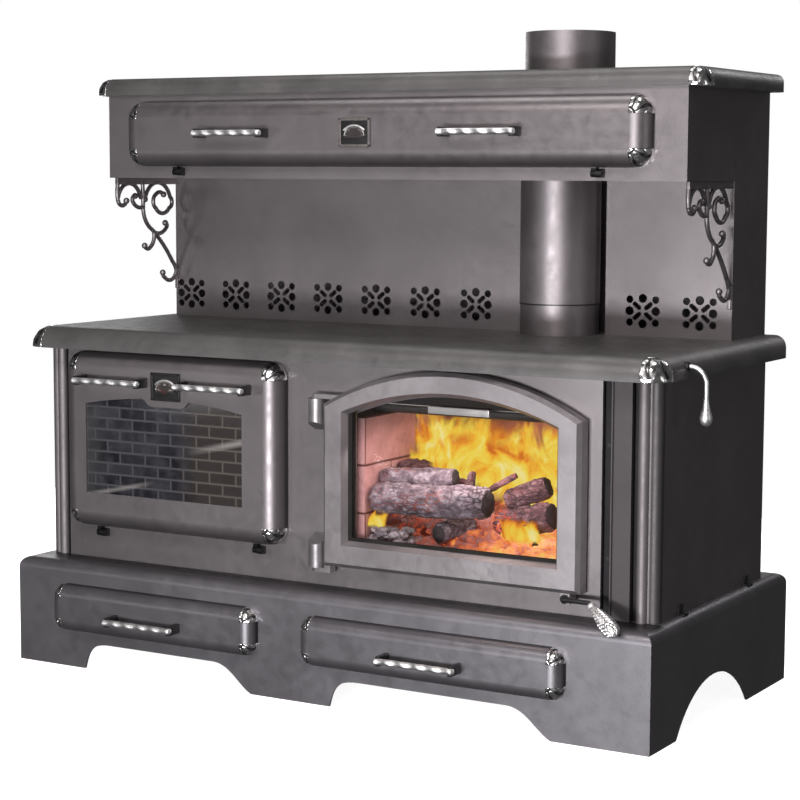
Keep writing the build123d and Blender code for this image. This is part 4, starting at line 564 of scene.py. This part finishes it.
BY_SLOT = {
    "satin_enamel": satin_paint("satin_enamel"),
    "bright_trim": bright_casting("bright_trim", 0.12, 0.00035),
    "cast_plate": cast_iron("cast_plate", (0.09, 0.086, 0.085), (0.14, 0.134, 0.132), 0.45, 0.55),
    "sheet_steel": plain_steel("sheet_steel", (0.035, 0.034, 0.034), (0.075, 0.072, 0.07), 0.5, 0.7),
    "firebrick": fire_clay(),
    "dark_brick": oven_brick(),
    "insulating_board": mottled(
        "insulating_board", (0.72, 0.68, 0.6), 0.95, (80, 6),
        ((0.3, (0.4, 0.36, 0.31)), (0.7, (0.74, 0.7, 0.62))), (260, 5, 0.0008),
    ),
    "door_glass": stove_glass(),
    "rope_seal": rope_weave(),
    "dial_plate": mottled(
        "dial_plate", (0.16, 0.14, 0.135), 0.42, (90, 5),
        ((0.3, (0.1, 0.088, 0.085)), (0.7, (0.2, 0.18, 0.172))), (500, 4, 0.00012), 0.5,
    ),
    "needle_red": mottled(
        "needle_red", (0.12, 0.025, 0.02), 0.45, (400, 4),
        ((0.3, (0.04, 0.01, 0.009)), (0.7, (0.08, 0.022, 0.018))),
    ),
}
DRAWER_PAINT = satin_paint("drawer_enamel", BASE_TONES, 0.4, gap_shade_at=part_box("ash_drawer_front")[1][1])
PIPE_PAINT = satin_paint("pipe_enamel", rough=0.46)
COLUMN_PAINT = grooved_paint("column_enamel")
BY_NODE = {
    "fire_door_frame": cast_iron("door_iron", (0.219, 0.2, 0.206), (0.302, 0.28, 0.287), 0.42, 0.75),
    "plinth": satin_paint("plinth_enamel", BASE_TONES, shaded_deck=True),
    "storage_drawer_front": DRAWER_PAINT,
    "ash_drawer_front": DRAWER_PAINT,
    "flue_pipe": PIPE_PAINT,
    "flue_spigot": PIPE_PAINT,
    "corner_column_left": COLUMN_PAINT,
    "corner_column_right": COLUMN_PAINT,
    "hinge_lugs": hinge_iron("hinge_iron"),
    "oven_door_shell": satin_paint("oven_enamel", rough=0.44, black_below=337, gap_shade_at=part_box("oven_door_shell")[1][1]),
    "warming_door_shell": satin_paint(
        "closet_enamel", rough=0.4, black_below=1209, gap_shade_at=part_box("warming_door_shell")[1][1]
    ),
    "oven_door_glass": painted_brick_reflection(),
    "latch_lever": BLACK,
    "damper_crank": PLATING,
    "damper_grip": PLATING,
    "body_fasteners": BLACK,
}

for subpart in frame["record"]["subparts"]:
    node = nodes[subpart["node"]]
    finish = BY_NODE.get(subpart["node"], BY_SLOT[subpart["material_slot"]])
    if not node.material_slots:
        node.data.materials.append(finish)
    for holder in node.material_slots:
        holder.material = finish


# ---- mesh helpers
def in_scene(name, data):
    """New object in the scene."""
    obj = bpy.data.objects.new(name, data)
    bpy.context.scene.collection.objects.link(obj)
    return obj


def raw_mesh(name, verts, faces):
    mesh = bpy.data.meshes.new(name)
    mesh.from_pydata([tuple(v) for v in verts], [], faces)
    return mesh


def piece(name, verts, faces, finish, body, slot, smooth=True):
    """New mesh piece of the object, riding on a body."""
    mesh = raw_mesh(name, verts, faces)
    work = bmesh.new()
    work.from_mesh(mesh)
    bmesh.ops.recalc_face_normals(work, faces=work.faces)
    work.to_mesh(mesh)
    work.free()
    return dress(mesh, finish, body, smooth)


def dress(mesh, finish, body, smooth=True):
    """Object for a finished mesh, with its material and body."""
    obj = in_scene(mesh.name, mesh)
    mesh.materials.append(finish)
    for face in mesh.polygons:
        face.use_smooth = smooth
    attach(obj, body)
    return obj


def stand_in(parts, node_name):
    """The pieces take the place of a CAD node."""
    for part in parts:
        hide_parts(node_name)


def around(count):
    """Angles of equal steps round a circle."""
    return [2 * pi * step / count for step in range(count)]


def taken(work):
    """Points and faces of a bmesh, which is freed."""
    verts = [vert.co.copy() for vert in work.verts]
    faces = [tuple(v.index for v in face.verts) for face in work.faces]
    work.free()
    return verts, faces


def skin(rings, closed=False):
    """Skin through equal rings, with end faces unless the last joins the first."""
    count, rows = len(rings[0]), len(rings)
    faces = []
    for row in range(rows if closed else rows - 1):
        after = (row + 1) % rows
        for i in range(count):
            j = (i + 1) % count
            faces.append((row * count + i, row * count + j, after * count + j, after * count + i))
    if not closed:
        faces += [tuple(reversed(range(count))), tuple(range((rows - 1) * count, rows * count))]
    return [point for ring in rings for point in ring], faces


def prism(outline, front, back):
    """Plate with an outline of (x, z) places, between two depths."""
    count = len(outline)
    verts = [at(x, y, z) for y in (front, back) for x, z in outline]
    faces = [tuple(range(count)), tuple(reversed(range(count, 2 * count)))]
    faces += [(i, (i + 1) % count, count + (i + 1) % count, count + i) for i in range(count)]
    return verts, faces


def join(parts):
    """Several (verts, faces) as one."""
    verts, faces = [], []
    for more_verts, more_faces in parts:
        start = len(verts)
        verts += more_verts
        faces += [tuple(start + i for i in face) for face in more_faces]
    return verts, faces


def soft_box(low, high, bevel):
    """Box with rounded edges between two corners, all in millimetres."""
    low, high = at(*low), at(*high)
    work = bmesh.new()
    bmesh.ops.create_cube(work, size=1)
    size = [high[i] - low[i] for i in range(3)]
    for vert in work.verts:
        vert.co = Vector([low[i] + (vert.co[i] + 0.5) * size[i] for i in range(3)])
    bmesh.ops.bevel(work, geom=list(work.edges), offset=bevel * MM, segments=3, profile=0.6, affect="EDGES")
    return taken(work)


def ball(centre, radius, segments, rows):
    """Sphere with its faces sorted, since they come in another order each time."""
    work = bmesh.new()
    bmesh.ops.create_uvsphere(work, u_segments=segments, v_segments=rows, radius=radius * MM)
    for vert in work.verts:
        vert.co += centre
    verts, faces = taken(work)
    return verts, sorted(face[face.index(min(face)):] + face[:face.index(min(face))] for face in faces)


def across(direction):
    """Two unit vectors square to a direction."""
    first = direction.orthogonal().normalized()
    return first, direction.cross(first).normalized()


def tube(points, radii, sides=12):
    """Round tube through points, with a radius at each, or one for all."""
    rings = []
    side = None
    for index, point in enumerate(points):
        ahead = points[min(index + 1, len(points) - 1)]
        along = (ahead - points[max(index - 1, 0)]).normalized()
        if side is None:
            side = across(along)[0]
        side = (side - along * side.dot(along)).normalized()
        up = along.cross(side)
        radius = radii[index] if isinstance(radii, list) else radii
        rings.append([point + (side * cos(turn) + up * sin(turn)) * radius for turn in around(sides)])
    return skin(rings)


# ---- handles
def twisted_bar(centre, length):
    """Bright bar along x with a twisted oval section, closing in a knob at each end."""
    rings = []
    steps, turns, knob, wide, tall = 150, 2.6, 6.5, 8.2, 6.8
    for step in range(steps + 1):
        share = step / steps
        along = (share - 0.5) * length
        from_end = min(share, 1 - share) * length
        close = sqrt(max(0.0025, 1 - max(0, 1 - from_end / knob) ** 2))
        twist = 2 * pi * turns * share
        hump = 1 + 0.1 * cos(2 * twist)
        ring = []
        for turn in around(28):
            out, up = wide * cos(turn) * hump, tall * sin(turn) * hump
            y = (out * cos(twist) - up * sin(twist)) * close
            z = (out * sin(twist) + up * cos(twist)) * close
            ring.append(centre + Vector((along, y, z)) * MM)
        rings.append(ring)
    return skin(rings)


def make_handles(name, places, body):
    """Twisted bars on black posts; returns the pieces."""
    bars, posts = [], []
    for x, face_y, z in places:
        front = face_y - STANDOFF
        bars.append(twisted_bar(at(x, front, z), BAR_LENGTH))
        for side in (-1, 1):
            post_x = x + side * (BAR_LENGTH / 2 - POST_W)
            low = (post_x - POST_W / 2, front - 1.5, z - POST_H / 2)
            posts.append(soft_box(low, (post_x + POST_W / 2, face_y, z + POST_H / 2), 1.6))
    bar = piece(name + "_bars", *join(bars), PLATING, body, "bright_trim")
    post = piece(name + "_posts", *join(posts), BLACK, body, "sheet_steel")
    return bar, post


# ---- corner castings
def islands_of(node):
    """Each loose part of a CAD node as (verts, faces)."""
    work = bmesh.new()
    work.from_mesh(node.data)
    bmesh.ops.remove_doubles(work, verts=work.verts, dist=1e-6)
    seen, parts = set(), []
    for start in work.verts:
        if start.index in seen:
            continue
        group, stack = [], [start]
        seen.add(start.index)
        while stack:
            vert = stack.pop()
            group.append(vert)
            for edge in vert.link_edges:
                other = edge.other_vert(vert)
                if other.index not in seen:
                    seen.add(other.index)
                    stack.append(other)
        place = {vert.index: i for i, vert in enumerate(group)}
        faces = sorted({face for vert in group for face in vert.link_faces}, key=lambda face: face.index)
        parts.append(([v.co.copy() for v in group], [tuple(place[v.index] for v in f.verts) for f in faces]))
    work.free()
    return parts


def remeshed(verts, faces, voxel):
    """Even mesh of a solid, for carving."""
    mesh = raw_mesh("raw", verts, faces)
    obj = in_scene("raw", mesh)
    modifier = obj.modifiers.new("even", "REMESH")
    modifier.mode = "VOXEL"
    modifier.voxel_size = voxel
    graph = bpy.context.evaluated_depsgraph_get()
    result = bpy.data.meshes.new_from_object(obj.evaluated_get(graph))
    bpy.data.objects.remove(obj)
    bpy.data.meshes.remove(mesh)
    return result


def leaf_relief(angle, reach):
    """Height, 0 to 1, of a fan of leaves round a small boss; reach is 0 at the boss and 1 at the rim."""
    boss, moat, rim = 0.17, 0.25, 0.93
    if reach < boss:
        return 0.95
    if reach < moat:
        return 0
    leaf = abs(cos(angle * 4 + 0.6 * sin(reach * 7)))
    vein = 1 - 0.8 * exp(-((cos(angle * 4)) ** 2) * 30)
    scallop = 0.5 + 0.5 * cos(reach * 19 + cos(angle * 8) * 1.8)
    height = 0.15 + 0.75 * leaf ** 0.8 * vein * (0.45 + 0.55 * scallop)
    if reach > rim:
        height = max(height, 0.75)
    return max(0, min(1, height))


def carve(mesh, inner, plane, size):
    """Presses the fan relief into a cap, and returns how deep each point lies, 0 to 1."""
    first, second = plane
    normals = [vert.normal.copy() for vert in mesh.vertices]
    recess = []
    for vert, normal in zip(mesh.vertices, normals):
        away = vert.co - inner
        angle = atan2(abs(away[second]), abs(away[first]) + 1e-9)
        sunk = 1 - leaf_relief(angle, away.length / size)
        vert.co -= normal * CAP_DEPTH * MM * sunk
        recess.append(max(0, min(1, (sunk - 0.35) / 0.4)))
    return recess


def make_caps(name, node_name, body, plane):
    """Carved castings in the place of a node's corner caps."""
    low_box, high_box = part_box(node_name)
    centre = (Vector(low_box) + Vector(high_box)) / 2
    parts, recess = [], []
    for verts, faces in islands_of(nodes[node_name]):
        low = Vector([min(v[i] for v in verts) for i in range(3)])
        high = Vector([max(v[i] for v in verts) for i in range(3)])
        if high.x - low.x > LARGEST_CAP:
            continue
        inner = Vector([low[i] if (low[i] + high[i]) / 2 > centre[i] else high[i] for i in range(3)])
        if plane == TOP_PLANE:
            inner.z = high.z
        else:
            inner.y = low.y
        mesh = remeshed(verts, faces, CAP_VOXEL * MM)
        recess += carve(mesh, inner, plane, (high - low).length * 0.82)
        parts.append(([v.co.copy() for v in mesh.vertices], [tuple(f.vertices) for f in mesh.polygons]))
        bpy.data.meshes.remove(mesh)
    caps = piece(name, *join(parts), CASTING, body, "bright_trim")
    layer = caps.data.attributes.new("recess", "FLOAT", "POINT")
    layer.data.foreach_set("value", recess)
    return caps


# ---- basket grip
def woven_grip(name, top, direction, body):
    """Pear-shaped grip of wires wound both ways over a core."""
    side, up = across(direction)
    wire_r = 0.15 * GRIP_R
    steps = 48

    def outline(share):
        """Radius of the wires' centres along the grip."""
        pear = GRIP_NECK + (GRIP_R - GRIP_NECK) * sin(pi * min(1, share / 1.32) ** 1.15)
        tip = sqrt(max(0, 1 - max(0, (share - 0.8) / 0.2) ** 2))
        return max(wire_r, pear * tip - wire_r)

    parts = []
    for way in (-1, 1):
        for wire in range(GRIP_WIRES):
            points = []
            for step in range(steps + 1):
                share = step / steps
                turn = way * 2 * pi * (wire / GRIP_WIRES + 1.1 * share)
                weave = 0.45 * wire_r * cos(turn * GRIP_WIRES / 2 + way * pi / 2)
                place = top + direction * (0.08 + 0.9 * share) * GRIP_LENGTH
                points.append(place + (side * cos(turn) + up * sin(turn)) * (outline(share) + weave))
            parts.append(tube(points, wire_r, 8))
    wires = piece(name + "_wires", *join(parts), PLATING, body, "bright_trim")
    shares = [0.12 + 0.86 * i / 16 for i in range(17)]
    core = [top + direction * GRIP_LENGTH * share for share in [0, 0.03, 0.09, 0.1] + shares]
    thick = [GRIP_NECK * part for part in (0.9, 1.2, 1.2, 0.8)]
    thick += [max(0.0006, outline((share - 0.08) / 0.9) - 0.2 * wire_r) for share in shares]
    middle = piece(name + "_core", *tube(core, thick, 24), PALE_STEEL, body, "bright_trim")
    return wires, middle


# ---- scroll brackets
SCROLL_RUNS = (
    # (ball at the start, ball at the end, places along y from the riser and down from the hood):
    # every second place ends an arc, and the place between lies on it
    (0, 1, ((-250, -14), (-253, -38), (-250, -58), (-232, -70), (-216, -58))),
    (0, 0, ((-250, -50), (-205, -14), (-158, -50))),
    (0, 0, ((-149, -10), (-147, -45), (-147, -76))),
    (0, 1, ((-147, -74), (-176, -72), (-190, -60), (-190, -50), (-180, -46))),
    (0, 0, ((-147, -74), (-138, -108), (-112, -132), (-62, -174), (-24, -218), (-10, -236), (-5, -262))),
    (1, 1, ((-139, -55), (-84, -12), (-32, -50), (-24, -64), (-36, -78), (-66, -92), (-94, -78),
            (-104, -58), (-92, -42), (-75, -37), (-60, -43))),
    (0, 1, ((-112, -132), (-70, -142), (-50, -130), (-47, -121), (-54, -117))),
    (0, 1, ((-102, -142), (-106, -166), (-118, -178), (-132, -182), (-142, -174))),
    (0, 1, ((-8, -246), (-28, -266), (-56, -260), (-64, -254), (-66, -246))),
)
SCROLL_BARS = ((-256, 0, -17, 0), (-7, 0, -289, -238))
STROKE_R = 5.4
JOINT_R = 5.5
CURL_R = 8


def arc_points(start, middle, end, count):
    """Points along the circle through three points."""
    ax, az, bx, bz, cx, cz = *start, *middle, *end
    cross = 2 * (ax * (bz - cz) + bx * (cz - az) + cx * (az - bz))
    a2, b2, c2 = ax * ax + az * az, bx * bx + bz * bz, cx * cx + cz * cz
    ox = (a2 * (bz - cz) + b2 * (cz - az) + c2 * (az - bz)) / cross
    oz = (a2 * (cx - bx) + b2 * (ax - cx) + c2 * (bx - ax)) / cross
    radius = hypot(ax - ox, az - oz)
    first, mid, last = (atan2(z - oz, x - ox) for x, z in (start, middle, end))
    sweep = (last - first) % (2 * pi)
    if (mid - first) % (2 * pi) > sweep:
        sweep -= 2 * pi
    turns = [first + sweep * i / count for i in range(count + 1)]
    return [(ox + radius * cos(turn), oz + radius * sin(turn)) for turn in turns]


def scroll_bracket(name, side):
    """Wrought round scrolls under a flat bar, with a ball at each curl's tip."""
    x = side * (HOOD_HALF - 5.6)
    parts = []
    for ball_start, ball_end, places in SCROLL_RUNS:
        last = len(places) - 3
        for index in range(0, last + 1, 2):
            line = arc_points(*places[index:index + 3], 14)
            points = [at(x, RISER_FRONT + along, HOOD_BASE + down) for along, down in line]
            parts.append(tube(points, STROKE_R * MM))
            for wanted, tip in ((ball_start and index == 0, points[0]), (ball_end and index == last, points[-1])):
                if wanted:
                    parts.append(ball(tip, CURL_R, 16, 10))
            parts += [ball(tip, JOINT_R, 12, 8) for tip in (points[0], points[-1])]
    for low_y, high_y, low_z, high_z in SCROLL_BARS:
        low = (x - 4.5, RISER_FRONT + low_y, HOOD_BASE + low_z)
        parts.append(soft_box(low, (x + 4.5, RISER_FRONT + high_y, HOOD_BASE + high_z), 1.2))
    return piece(name, *join(parts), BY_SLOT["satin_enamel"], "stove_body", "satin_enamel")


def band_ring(name, radius, thick, low, high):
    """Thin black ring round the flue pipe."""
    corners = ((radius - thick, low), (radius, low), (radius, high), (radius - thick, high))
    rings = []
    for turn in around(72):
        x, y = cos(turn), sin(turn)
        rings.append([at(PIPE_AXIS[0] + x * r, PIPE_AXIS[1] + y * r, z) for r, z in corners])
    piece(name, *skin(rings, True), BLACK, "stove_body", "sheet_steel", False)


# ---- gauge plates
def bright_arc(centre, radius, stroke, low_turn, high_turn, y):
    """Thin raised arc of round section, from one angle to another in degrees."""
    points = []
    for step in range(37):
        turn = radians(low_turn + (high_turn - low_turn) * step / 36)
        points.append(at(centre[0] + radius * cos(turn), y, centre[1] + radius * sin(turn)))
    return tube(points, stroke * MM, 10)


def gauge(name, place, body, numbers, rim_finish):
    """Dark plate, bright half ring and bronze face with ticks, and numbers if wanted."""
    x, face_y, z = place
    front = face_y - PLATE_T
    pivot = (x, z - DIAL_DROP)
    left, right, foot, top = x - PLATE_W / 2, x + PLATE_W / 2, z - PLATE_H / 2, z + PLATE_H / 2
    plate = soft_box((left, front + 1.2, foot), (right, face_y, top), 2.2)
    rims = []
    for low_x, high_x, low_z, high_z in (
        (left, right, top - PLATE_RIM, top), (left, right, foot, foot + PLATE_RIM),
        (left, left + PLATE_RIM, foot, top), (right - PLATE_RIM, right, foot, top),
    ):
        rims.append(soft_box((low_x, front, low_z), (high_x, face_y - 1, high_z), 1.3))
    backing = piece(name + "_plate", *plate, BLACK, body, "dial_plate")
    border = piece(name + "_border", *join(rims), rim_finish, body, "dial_plate")
    arcs = [
        bright_arc((x, pivot[1] - 12), 40, 2.8, 46, 134, front + 0.6),
        bright_arc(pivot, DIAL_R + 0.5, 0.8, 8, 172, front + 0.9),
    ]
    ring = piece(name + "_ring", *join(arcs), PLATING, body, "bright_trim")

    def on_dial(turn, reach, beside=0):
        """Place in (x, z) at an angle and distance from the pivot, and beside that line."""
        out, up = cos(turn), sin(turn)
        return x + out * reach - up * beside, pivot[1] + up * reach + out * beside

    half_round = [on_dial(pi * i / 48, DIAL_R) for i in range(49)]
    face = piece(name + "_face", *prism(half_round, front + 0.3, front + 1.6), BRONZE, body, "dial_plate", False)

    def dial_turn(share):
        return pi * (0.08 + 0.84 * share)

    marks = []
    for index in range(TICKS):
        turn = dial_turn(index / (TICKS - 1))
        outer = DIAL_R - 1.6
        inner = outer - (4.4 if index % 3 == 0 else 2.4)
        corners = [on_dial(turn, r, s) for r, s in ((outer, -0.42), (outer, 0.42), (inner, 0.42), (inner, -0.42))]
        marks.append(prism(corners, front + 0.05, front + 0.45))
    piece(name + "_marks", *join(marks), INK, body, "dial_plate", False)
    if numbers:
        for index, value in enumerate(("300", "200", "100")):
            text = bpy.data.curves.new(f"{name}_number_{value}", "FONT")
            text.body = value
            text.size = 0.0052
            text.extrude = 0.00015
            text.align_x = text.align_y = "CENTER"
            text.materials.append(INK)
            label = in_scene(text.name, text)
            label_x, label_z = on_dial(dial_turn(index / 2), DIAL_R - 11)
            label.location = at(label_x, front + 0.1, label_z + 1.5)
            label.rotation_euler = (pi / 2, 0, 0)
            bpy.context.view_layer.update()
            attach(label, body)
    return backing, border, ring, face


# ---- fire
def log(name, start, end, radius, seed, finish):
    """Burning log between two points, with ridged bark and split ends."""
    first, last = at(*start), at(*end)
    along = (last - first).normalized()
    side, up = across(along)
    length = (last - first).length
    rows = 46
    rings = []
    for row in range(rows + 1):
        share = row / rows
        centre = first + along * length * share
        edge = min(share, 1 - share) * length
        close = 0.86 + 0.14 * min(1, edge / 0.012)
        ring = []
        for turn in around(34):
            out = side * cos(turn) + up * sin(turn)
            spot = out * 2.1 + along * share * 3 + Vector((seed, seed * 1.7, 0))
            ridge = abs(noise.noise(Vector((cos(turn) * 3.4, sin(turn) * 3.4, share * 1.6 + seed)))) * 0.2
            lump = noise.fractal(spot * 1.6, 0.8, 2, 4) * 0.13
            check = 0.06 if sin(share * 34 + cos(turn * 3 + seed) * 3) > 0.86 else 0
            ring.append(centre + out * radius * MM * close * (1 + lump - ridge - check))
        rings.append(ring)
    shape = piece(name, *skin(rings), finish, "stove_body", "firebrick")
    shape.data.materials.append(LOG_END)
    for face in shape.data.polygons[-2:]:
        face.material_index = 1


def rubble(name, count, spread, size, finish, seed):
    """Heap of broken lumps; spread draws a build-frame place for each."""
    draw = random.Random(seed)
    parts = []
    for index in range(count):
        x, y, z = spread(draw)
        work = bmesh.new()
        bmesh.ops.create_icosphere(work, subdivisions=2, radius=1)
        stretch = Vector((draw.uniform(0.7, 1.5), draw.uniform(0.7, 1.2), draw.uniform(0.45, 0.8)))
        turn = Matrix.Rotation(draw.uniform(0, pi), 3, "Z") @ Matrix.Rotation(draw.uniform(-0.5, 0.5), 3, "X")
        scale = draw.uniform(*size) * MM
        shift = Vector((index * 3.1, seed, 0))
        for vert in work.verts:
            rough = 1 + 0.42 * noise.noise(vert.co * 1.7 + shift) + 0.16 * noise.noise(vert.co * 4.5 + shift)
            vert.co = turn @ Vector([vert.co[i] * stretch[i] * rough * scale for i in range(3)]) + at(x, y, z)
        parts.append(taken(work))
    piece(name, *join(parts), finish, "stove_body", "firebrick", False)


def flame(name, foot, width, height, lean, seed):
    """Sheet of fire standing on foot, bowed and waving, with its own UV for the fade."""
    draw = random.Random(seed)
    verts, uvs = [], []
    cells = 24
    phase, turn = draw.uniform(0, 6.28), draw.uniform(-0.25, 0.25)
    for row in range(cells + 1):
        v = row / cells
        half = width / 2 * (1 - 0.18 * v * v)
        sway = sin(v * 4 + phase) * 8 * v + lean * v ** 1.4
        for column in range(cells + 1):
            u = column / cells
            reach = (u - 0.5) * 2 * half
            wave = sin(u * 9 + phase + v * 3) * 9 + (1 - (2 * u - 1) ** 2) * -18
            x = foot[0] + reach * cos(turn) + sway
            y = foot[1] + reach * sin(turn) + wave
            verts.append(at(x, y, foot[2] + v * height))
            uvs.append((u, v))
    stride = cells + 1
    corners = [row * stride + column for row in range(cells) for column in range(cells)]
    mesh = raw_mesh(name, verts, [(a, a + 1, a + 1 + stride, a + stride) for a in corners])
    layer = mesh.uv_layers.new(name="fade")
    for loop in mesh.loops:
        layer.data[loop.index].uv = uvs[loop.vertex_index]
    dress(mesh, FLAME, "stove_body")


# ---- pieces
for name, body, node_name, places in HANDLES:
    parts = make_handles(name + "_handle", places, body)
    if node_name == body + "_trim":
        parts += (make_caps(body + "_castings", node_name, body, FRONT_PLANE),)
    stand_in(parts, node_name)

for name, node_name, body, plane in (
    ("oven_door_castings", "oven_door_corners", "oven_door", FRONT_PLANE),
    ("cooktop_castings", "cooktop_corner_trims", "stove_body", TOP_PLANE),
    ("hood_castings", "hood_corner_trims", "stove_body", TOP_PLANE),
):
    stand_in([make_caps(name, node_name, body, plane)], node_name)

latch_tip = at(*LATCH_TIP)
latch_way = (latch_tip - at(*LATCH_KNEE)).normalized()
stand_in(woven_grip("latch_grip", latch_tip - latch_way * GRIP_LENGTH, latch_way, "fire_latch"), "latch_grip")

for side, side_name in ((-1, "left"), (1, "right")):
    stand_in([scroll_bracket(f"scrolls_{side_name}", side)], f"scroll_bracket_{side_name}")

band_ring("pipe_joint", 95.3, 3, 891.5, 894.6)
bushing_points = [at(x, 170, 797) for x in (828, 842, 844.5, 846.5, 847)]
bushing_radii = [r * MM for r in (10, 10, 9.6, 8, 6.2)]
piece("rod_bushing", *tube(bushing_points, bushing_radii, 28), BLACK, "stove_body", "sheet_steel")

stand_in(gauge("oven_gauge", OVEN_PLATE, "oven_door", True, BLACK), "thermometer_dial")
stand_in(gauge("closet_gauge", WARMING_PLATE, "warming_door", False, BY_SLOT["dial_plate"]), "warming_door_plate")

piece("air_lip", *soft_box((255, 99, 668), (408, 104, 684), 1.2), PALE_STEEL, "stove_body", "sheet_steel")

log("log_main", (94, 147, 461), (383, 147, 470), 38, 1.3, ASHY_BARK)
log("log_top", (94, 178, 502), (280, 184, 514), 24, 4.1, ASHY_BARK)
log("log_behind", (94, 262, 500), (300, 262, 496), 38, 5.6, RED_BARK)
log("log_right", (386, 236, 464), (482, 246, 504), 26, 7.7, RED_BARK)
log("log_right_low", (372, 222, 412), (512, 208, 444), 34, 12.5, RED_BARK)
log("log_end_on", (262, 138, 392), (292, 236, 402), 25, 9.2, ASHY_BARK)
log("twig", (352, 212, 490), (412, 226, 526), 7.5, 3.3, RED_BARK)


def ember_bed(draw):
    """Bed that climbs from the log fence to the back wall."""
    x, y = draw.uniform(100, 570), draw.uniform(130, 500)
    rise = 58 * min(1, max(0, (y - 135) / 110))
    return x, y, FIRE_FLOOR + 16 + rise * draw.uniform(0.7, 1.05)


def ash_edge(draw):
    return draw.uniform(94, 190), draw.uniform(124, 160), FIRE_FLOOR + draw.uniform(28, 58)


rubble("ember_bed", 520, ember_bed, (11, 25), COAL, 5)
rubble("ash_pieces", 30, ash_edge, (9, 19), ASH, 8)

FLAMES = (
    # (foot, width, height, lean)
    ((255, 335, 446), 360, 250, 6),
    ((225, 300, 462), 290, 225, -6),
    ((320, 285, 456), 300, 215, 8),
    ((270, 255, 478), 230, 170, 4),
    ((440, 335, 440), 240, 140, 6),
    ((160, 310, 450), 150, 150, -4),
    ((460, 290, 430), 170, 95, 4),
    ((112, 132, 396), 52, 50, 4),
    ((440, 190, 384), 150, 66, 6),
    ((400, 380, 470), 300, 175, 0),
)
for number, (foot, width, height, lean) in enumerate(FLAMES):
    flame(f"flame_{number + 1:02d}", foot, width, height, lean, 20 + number)


# ---- floor, light and camera
def make_floor():
    """Small pale floor with a soft light of its own from straight above."""
    work = bmesh.new()
    bmesh.ops.create_grid(work, x_segments=8, y_segments=8, size=FLOOR_HALF)
    mesh = bpy.data.meshes.new("floor")
    work.to_mesh(mesh)
    work.free()
    floor = in_scene("floor", mesh)
    mesh.materials.append(PALE_FLOOR)
    floor.visible_diffuse = floor.visible_glossy = False
    lit = bpy.data.collections.new("floor_only")
    lit.objects.link(floor)
    for name, energy, shadow in (("overhead", 0.5, True), ("overhead_fill", 3.3, False)):
        lamp = bpy.data.lights.new(name, "SUN")
        lamp.energy = energy
        lamp.angle = radians(40)
        lamp.use_shadow = shadow
        in_scene(name, lamp).light_linking.receiver_collection = lit


def soft_light(name, place, aim, size, power, color=(1, 1, 1)):
    """Rectangular area light at one place, aimed at another."""
    lamp = bpy.data.lights.new(name, "AREA")
    lamp.shape = "RECTANGLE"
    lamp.size, lamp.size_y = size
    lamp.energy = power
    lamp.color = color
    holder = in_scene(name, lamp)
    holder.location = at(*place)
    holder.rotation_euler = (at(*aim) - at(*place)).to_track_quat("-Z", "Y").to_euler()


def make_world():
    """White behind the object, dim in its reflections."""
    world = bpy.data.worlds.new("studio")
    world.use_nodes = True
    tree = world.node_tree
    ground = tree.nodes["Background"]
    ground.inputs["Color"].default_value = (1, 1, 1, 1)
    seen = tree.nodes.new("ShaderNodeLightPath")
    level = tree.nodes.new("ShaderNodeMapRange")
    level.inputs["To Min"].default_value = WORLD_GLOW
    tree.links.new(seen.outputs["Is Camera Ray"], level.inputs["Value"])
    tree.links.new(level.outputs["Result"], ground.inputs["Strength"])
    bpy.context.scene.world = world


def make_camera():
    yaw, pitch, roll = (radians(a) for a in (CAMERA_YAW, CAMERA_PITCH, CAMERA_ROLL))
    ahead = Vector((-sin(yaw) * cos(pitch), cos(yaw) * cos(pitch), -sin(pitch)))
    right = Vector((cos(yaw), sin(yaw), 0))
    up = right.cross(ahead)
    rolled_right = cos(roll) * right + sin(roll) * up
    rolled_up = -sin(roll) * right + cos(roll) * up
    turn = Matrix((rolled_right, rolled_up, -ahead)).transposed()
    data = bpy.data.cameras.new("camera")
    data.sensor_width = 36
    data.lens = CAMERA_LENS
    camera = in_scene("camera", data)
    camera.matrix_world = Matrix.Translation(at(*CAMERA_PLACE)) @ turn.to_4x4()
    bpy.context.scene.camera = camera


LIGHTS = (
    # (name, place, aim, size in metres, power, and colour if it isn't white)
    ("key", (1900, -4700, 800), (50, 0, 600), (2.4, 1.6), 49.5, (1, 0.94, 0.945)),
    ("low", (700, -4300, 250), (0, 0, 150), (1.6, 0.4), 188, (0.965, 0.97, 1)),
    ("left_fill", (-3000, -4000, 600), (-300, 100, 500), (0.9, 1), 9),
    ("front_top", (500, -2500, 3300), (0, 200, 900), (2.8, 1.2), 107.5, (1, 0.945, 0.945)),
    ("top", (0, 700, 3600), (0, 450, 1000), (3, 1), 32),
    ("back", (-2300, 5000, 1100), (-100, 700, 700), (2.2, 1.6), 62),
    ("left", (-4000, 3200, 1200), (-800, 400, 700), (1.8, 1.6), 22),
    ("edge", (1250, 4300, 3300), (830, 200, 800), (1, 0.8), 18),
    ("right", (4700, -100, 1100), (800, 400, 700), (1.6, 1.4), 10),
    ("fire_glow", (330, 250, 660), (300, 250, 400), (0.35, 0.2), 1.1, (1, 0.78, 0.7)),
    ("fire_front", (330, 108, 560), (280, 300, 440), (0.4, 0.04), 0.5, (1, 0.9, 0.88)),
    ("oven_glow", (-423, 130, 725), (-423, 560, 480), (0.4, 0.06), 1.3, (1, 0.93, 0.86)),
)

make_floor()
make_world()
for light in LIGHTS:
    soft_light(*light)
make_camera()
bpy.context.scene.view_settings.view_transform = "Standard"
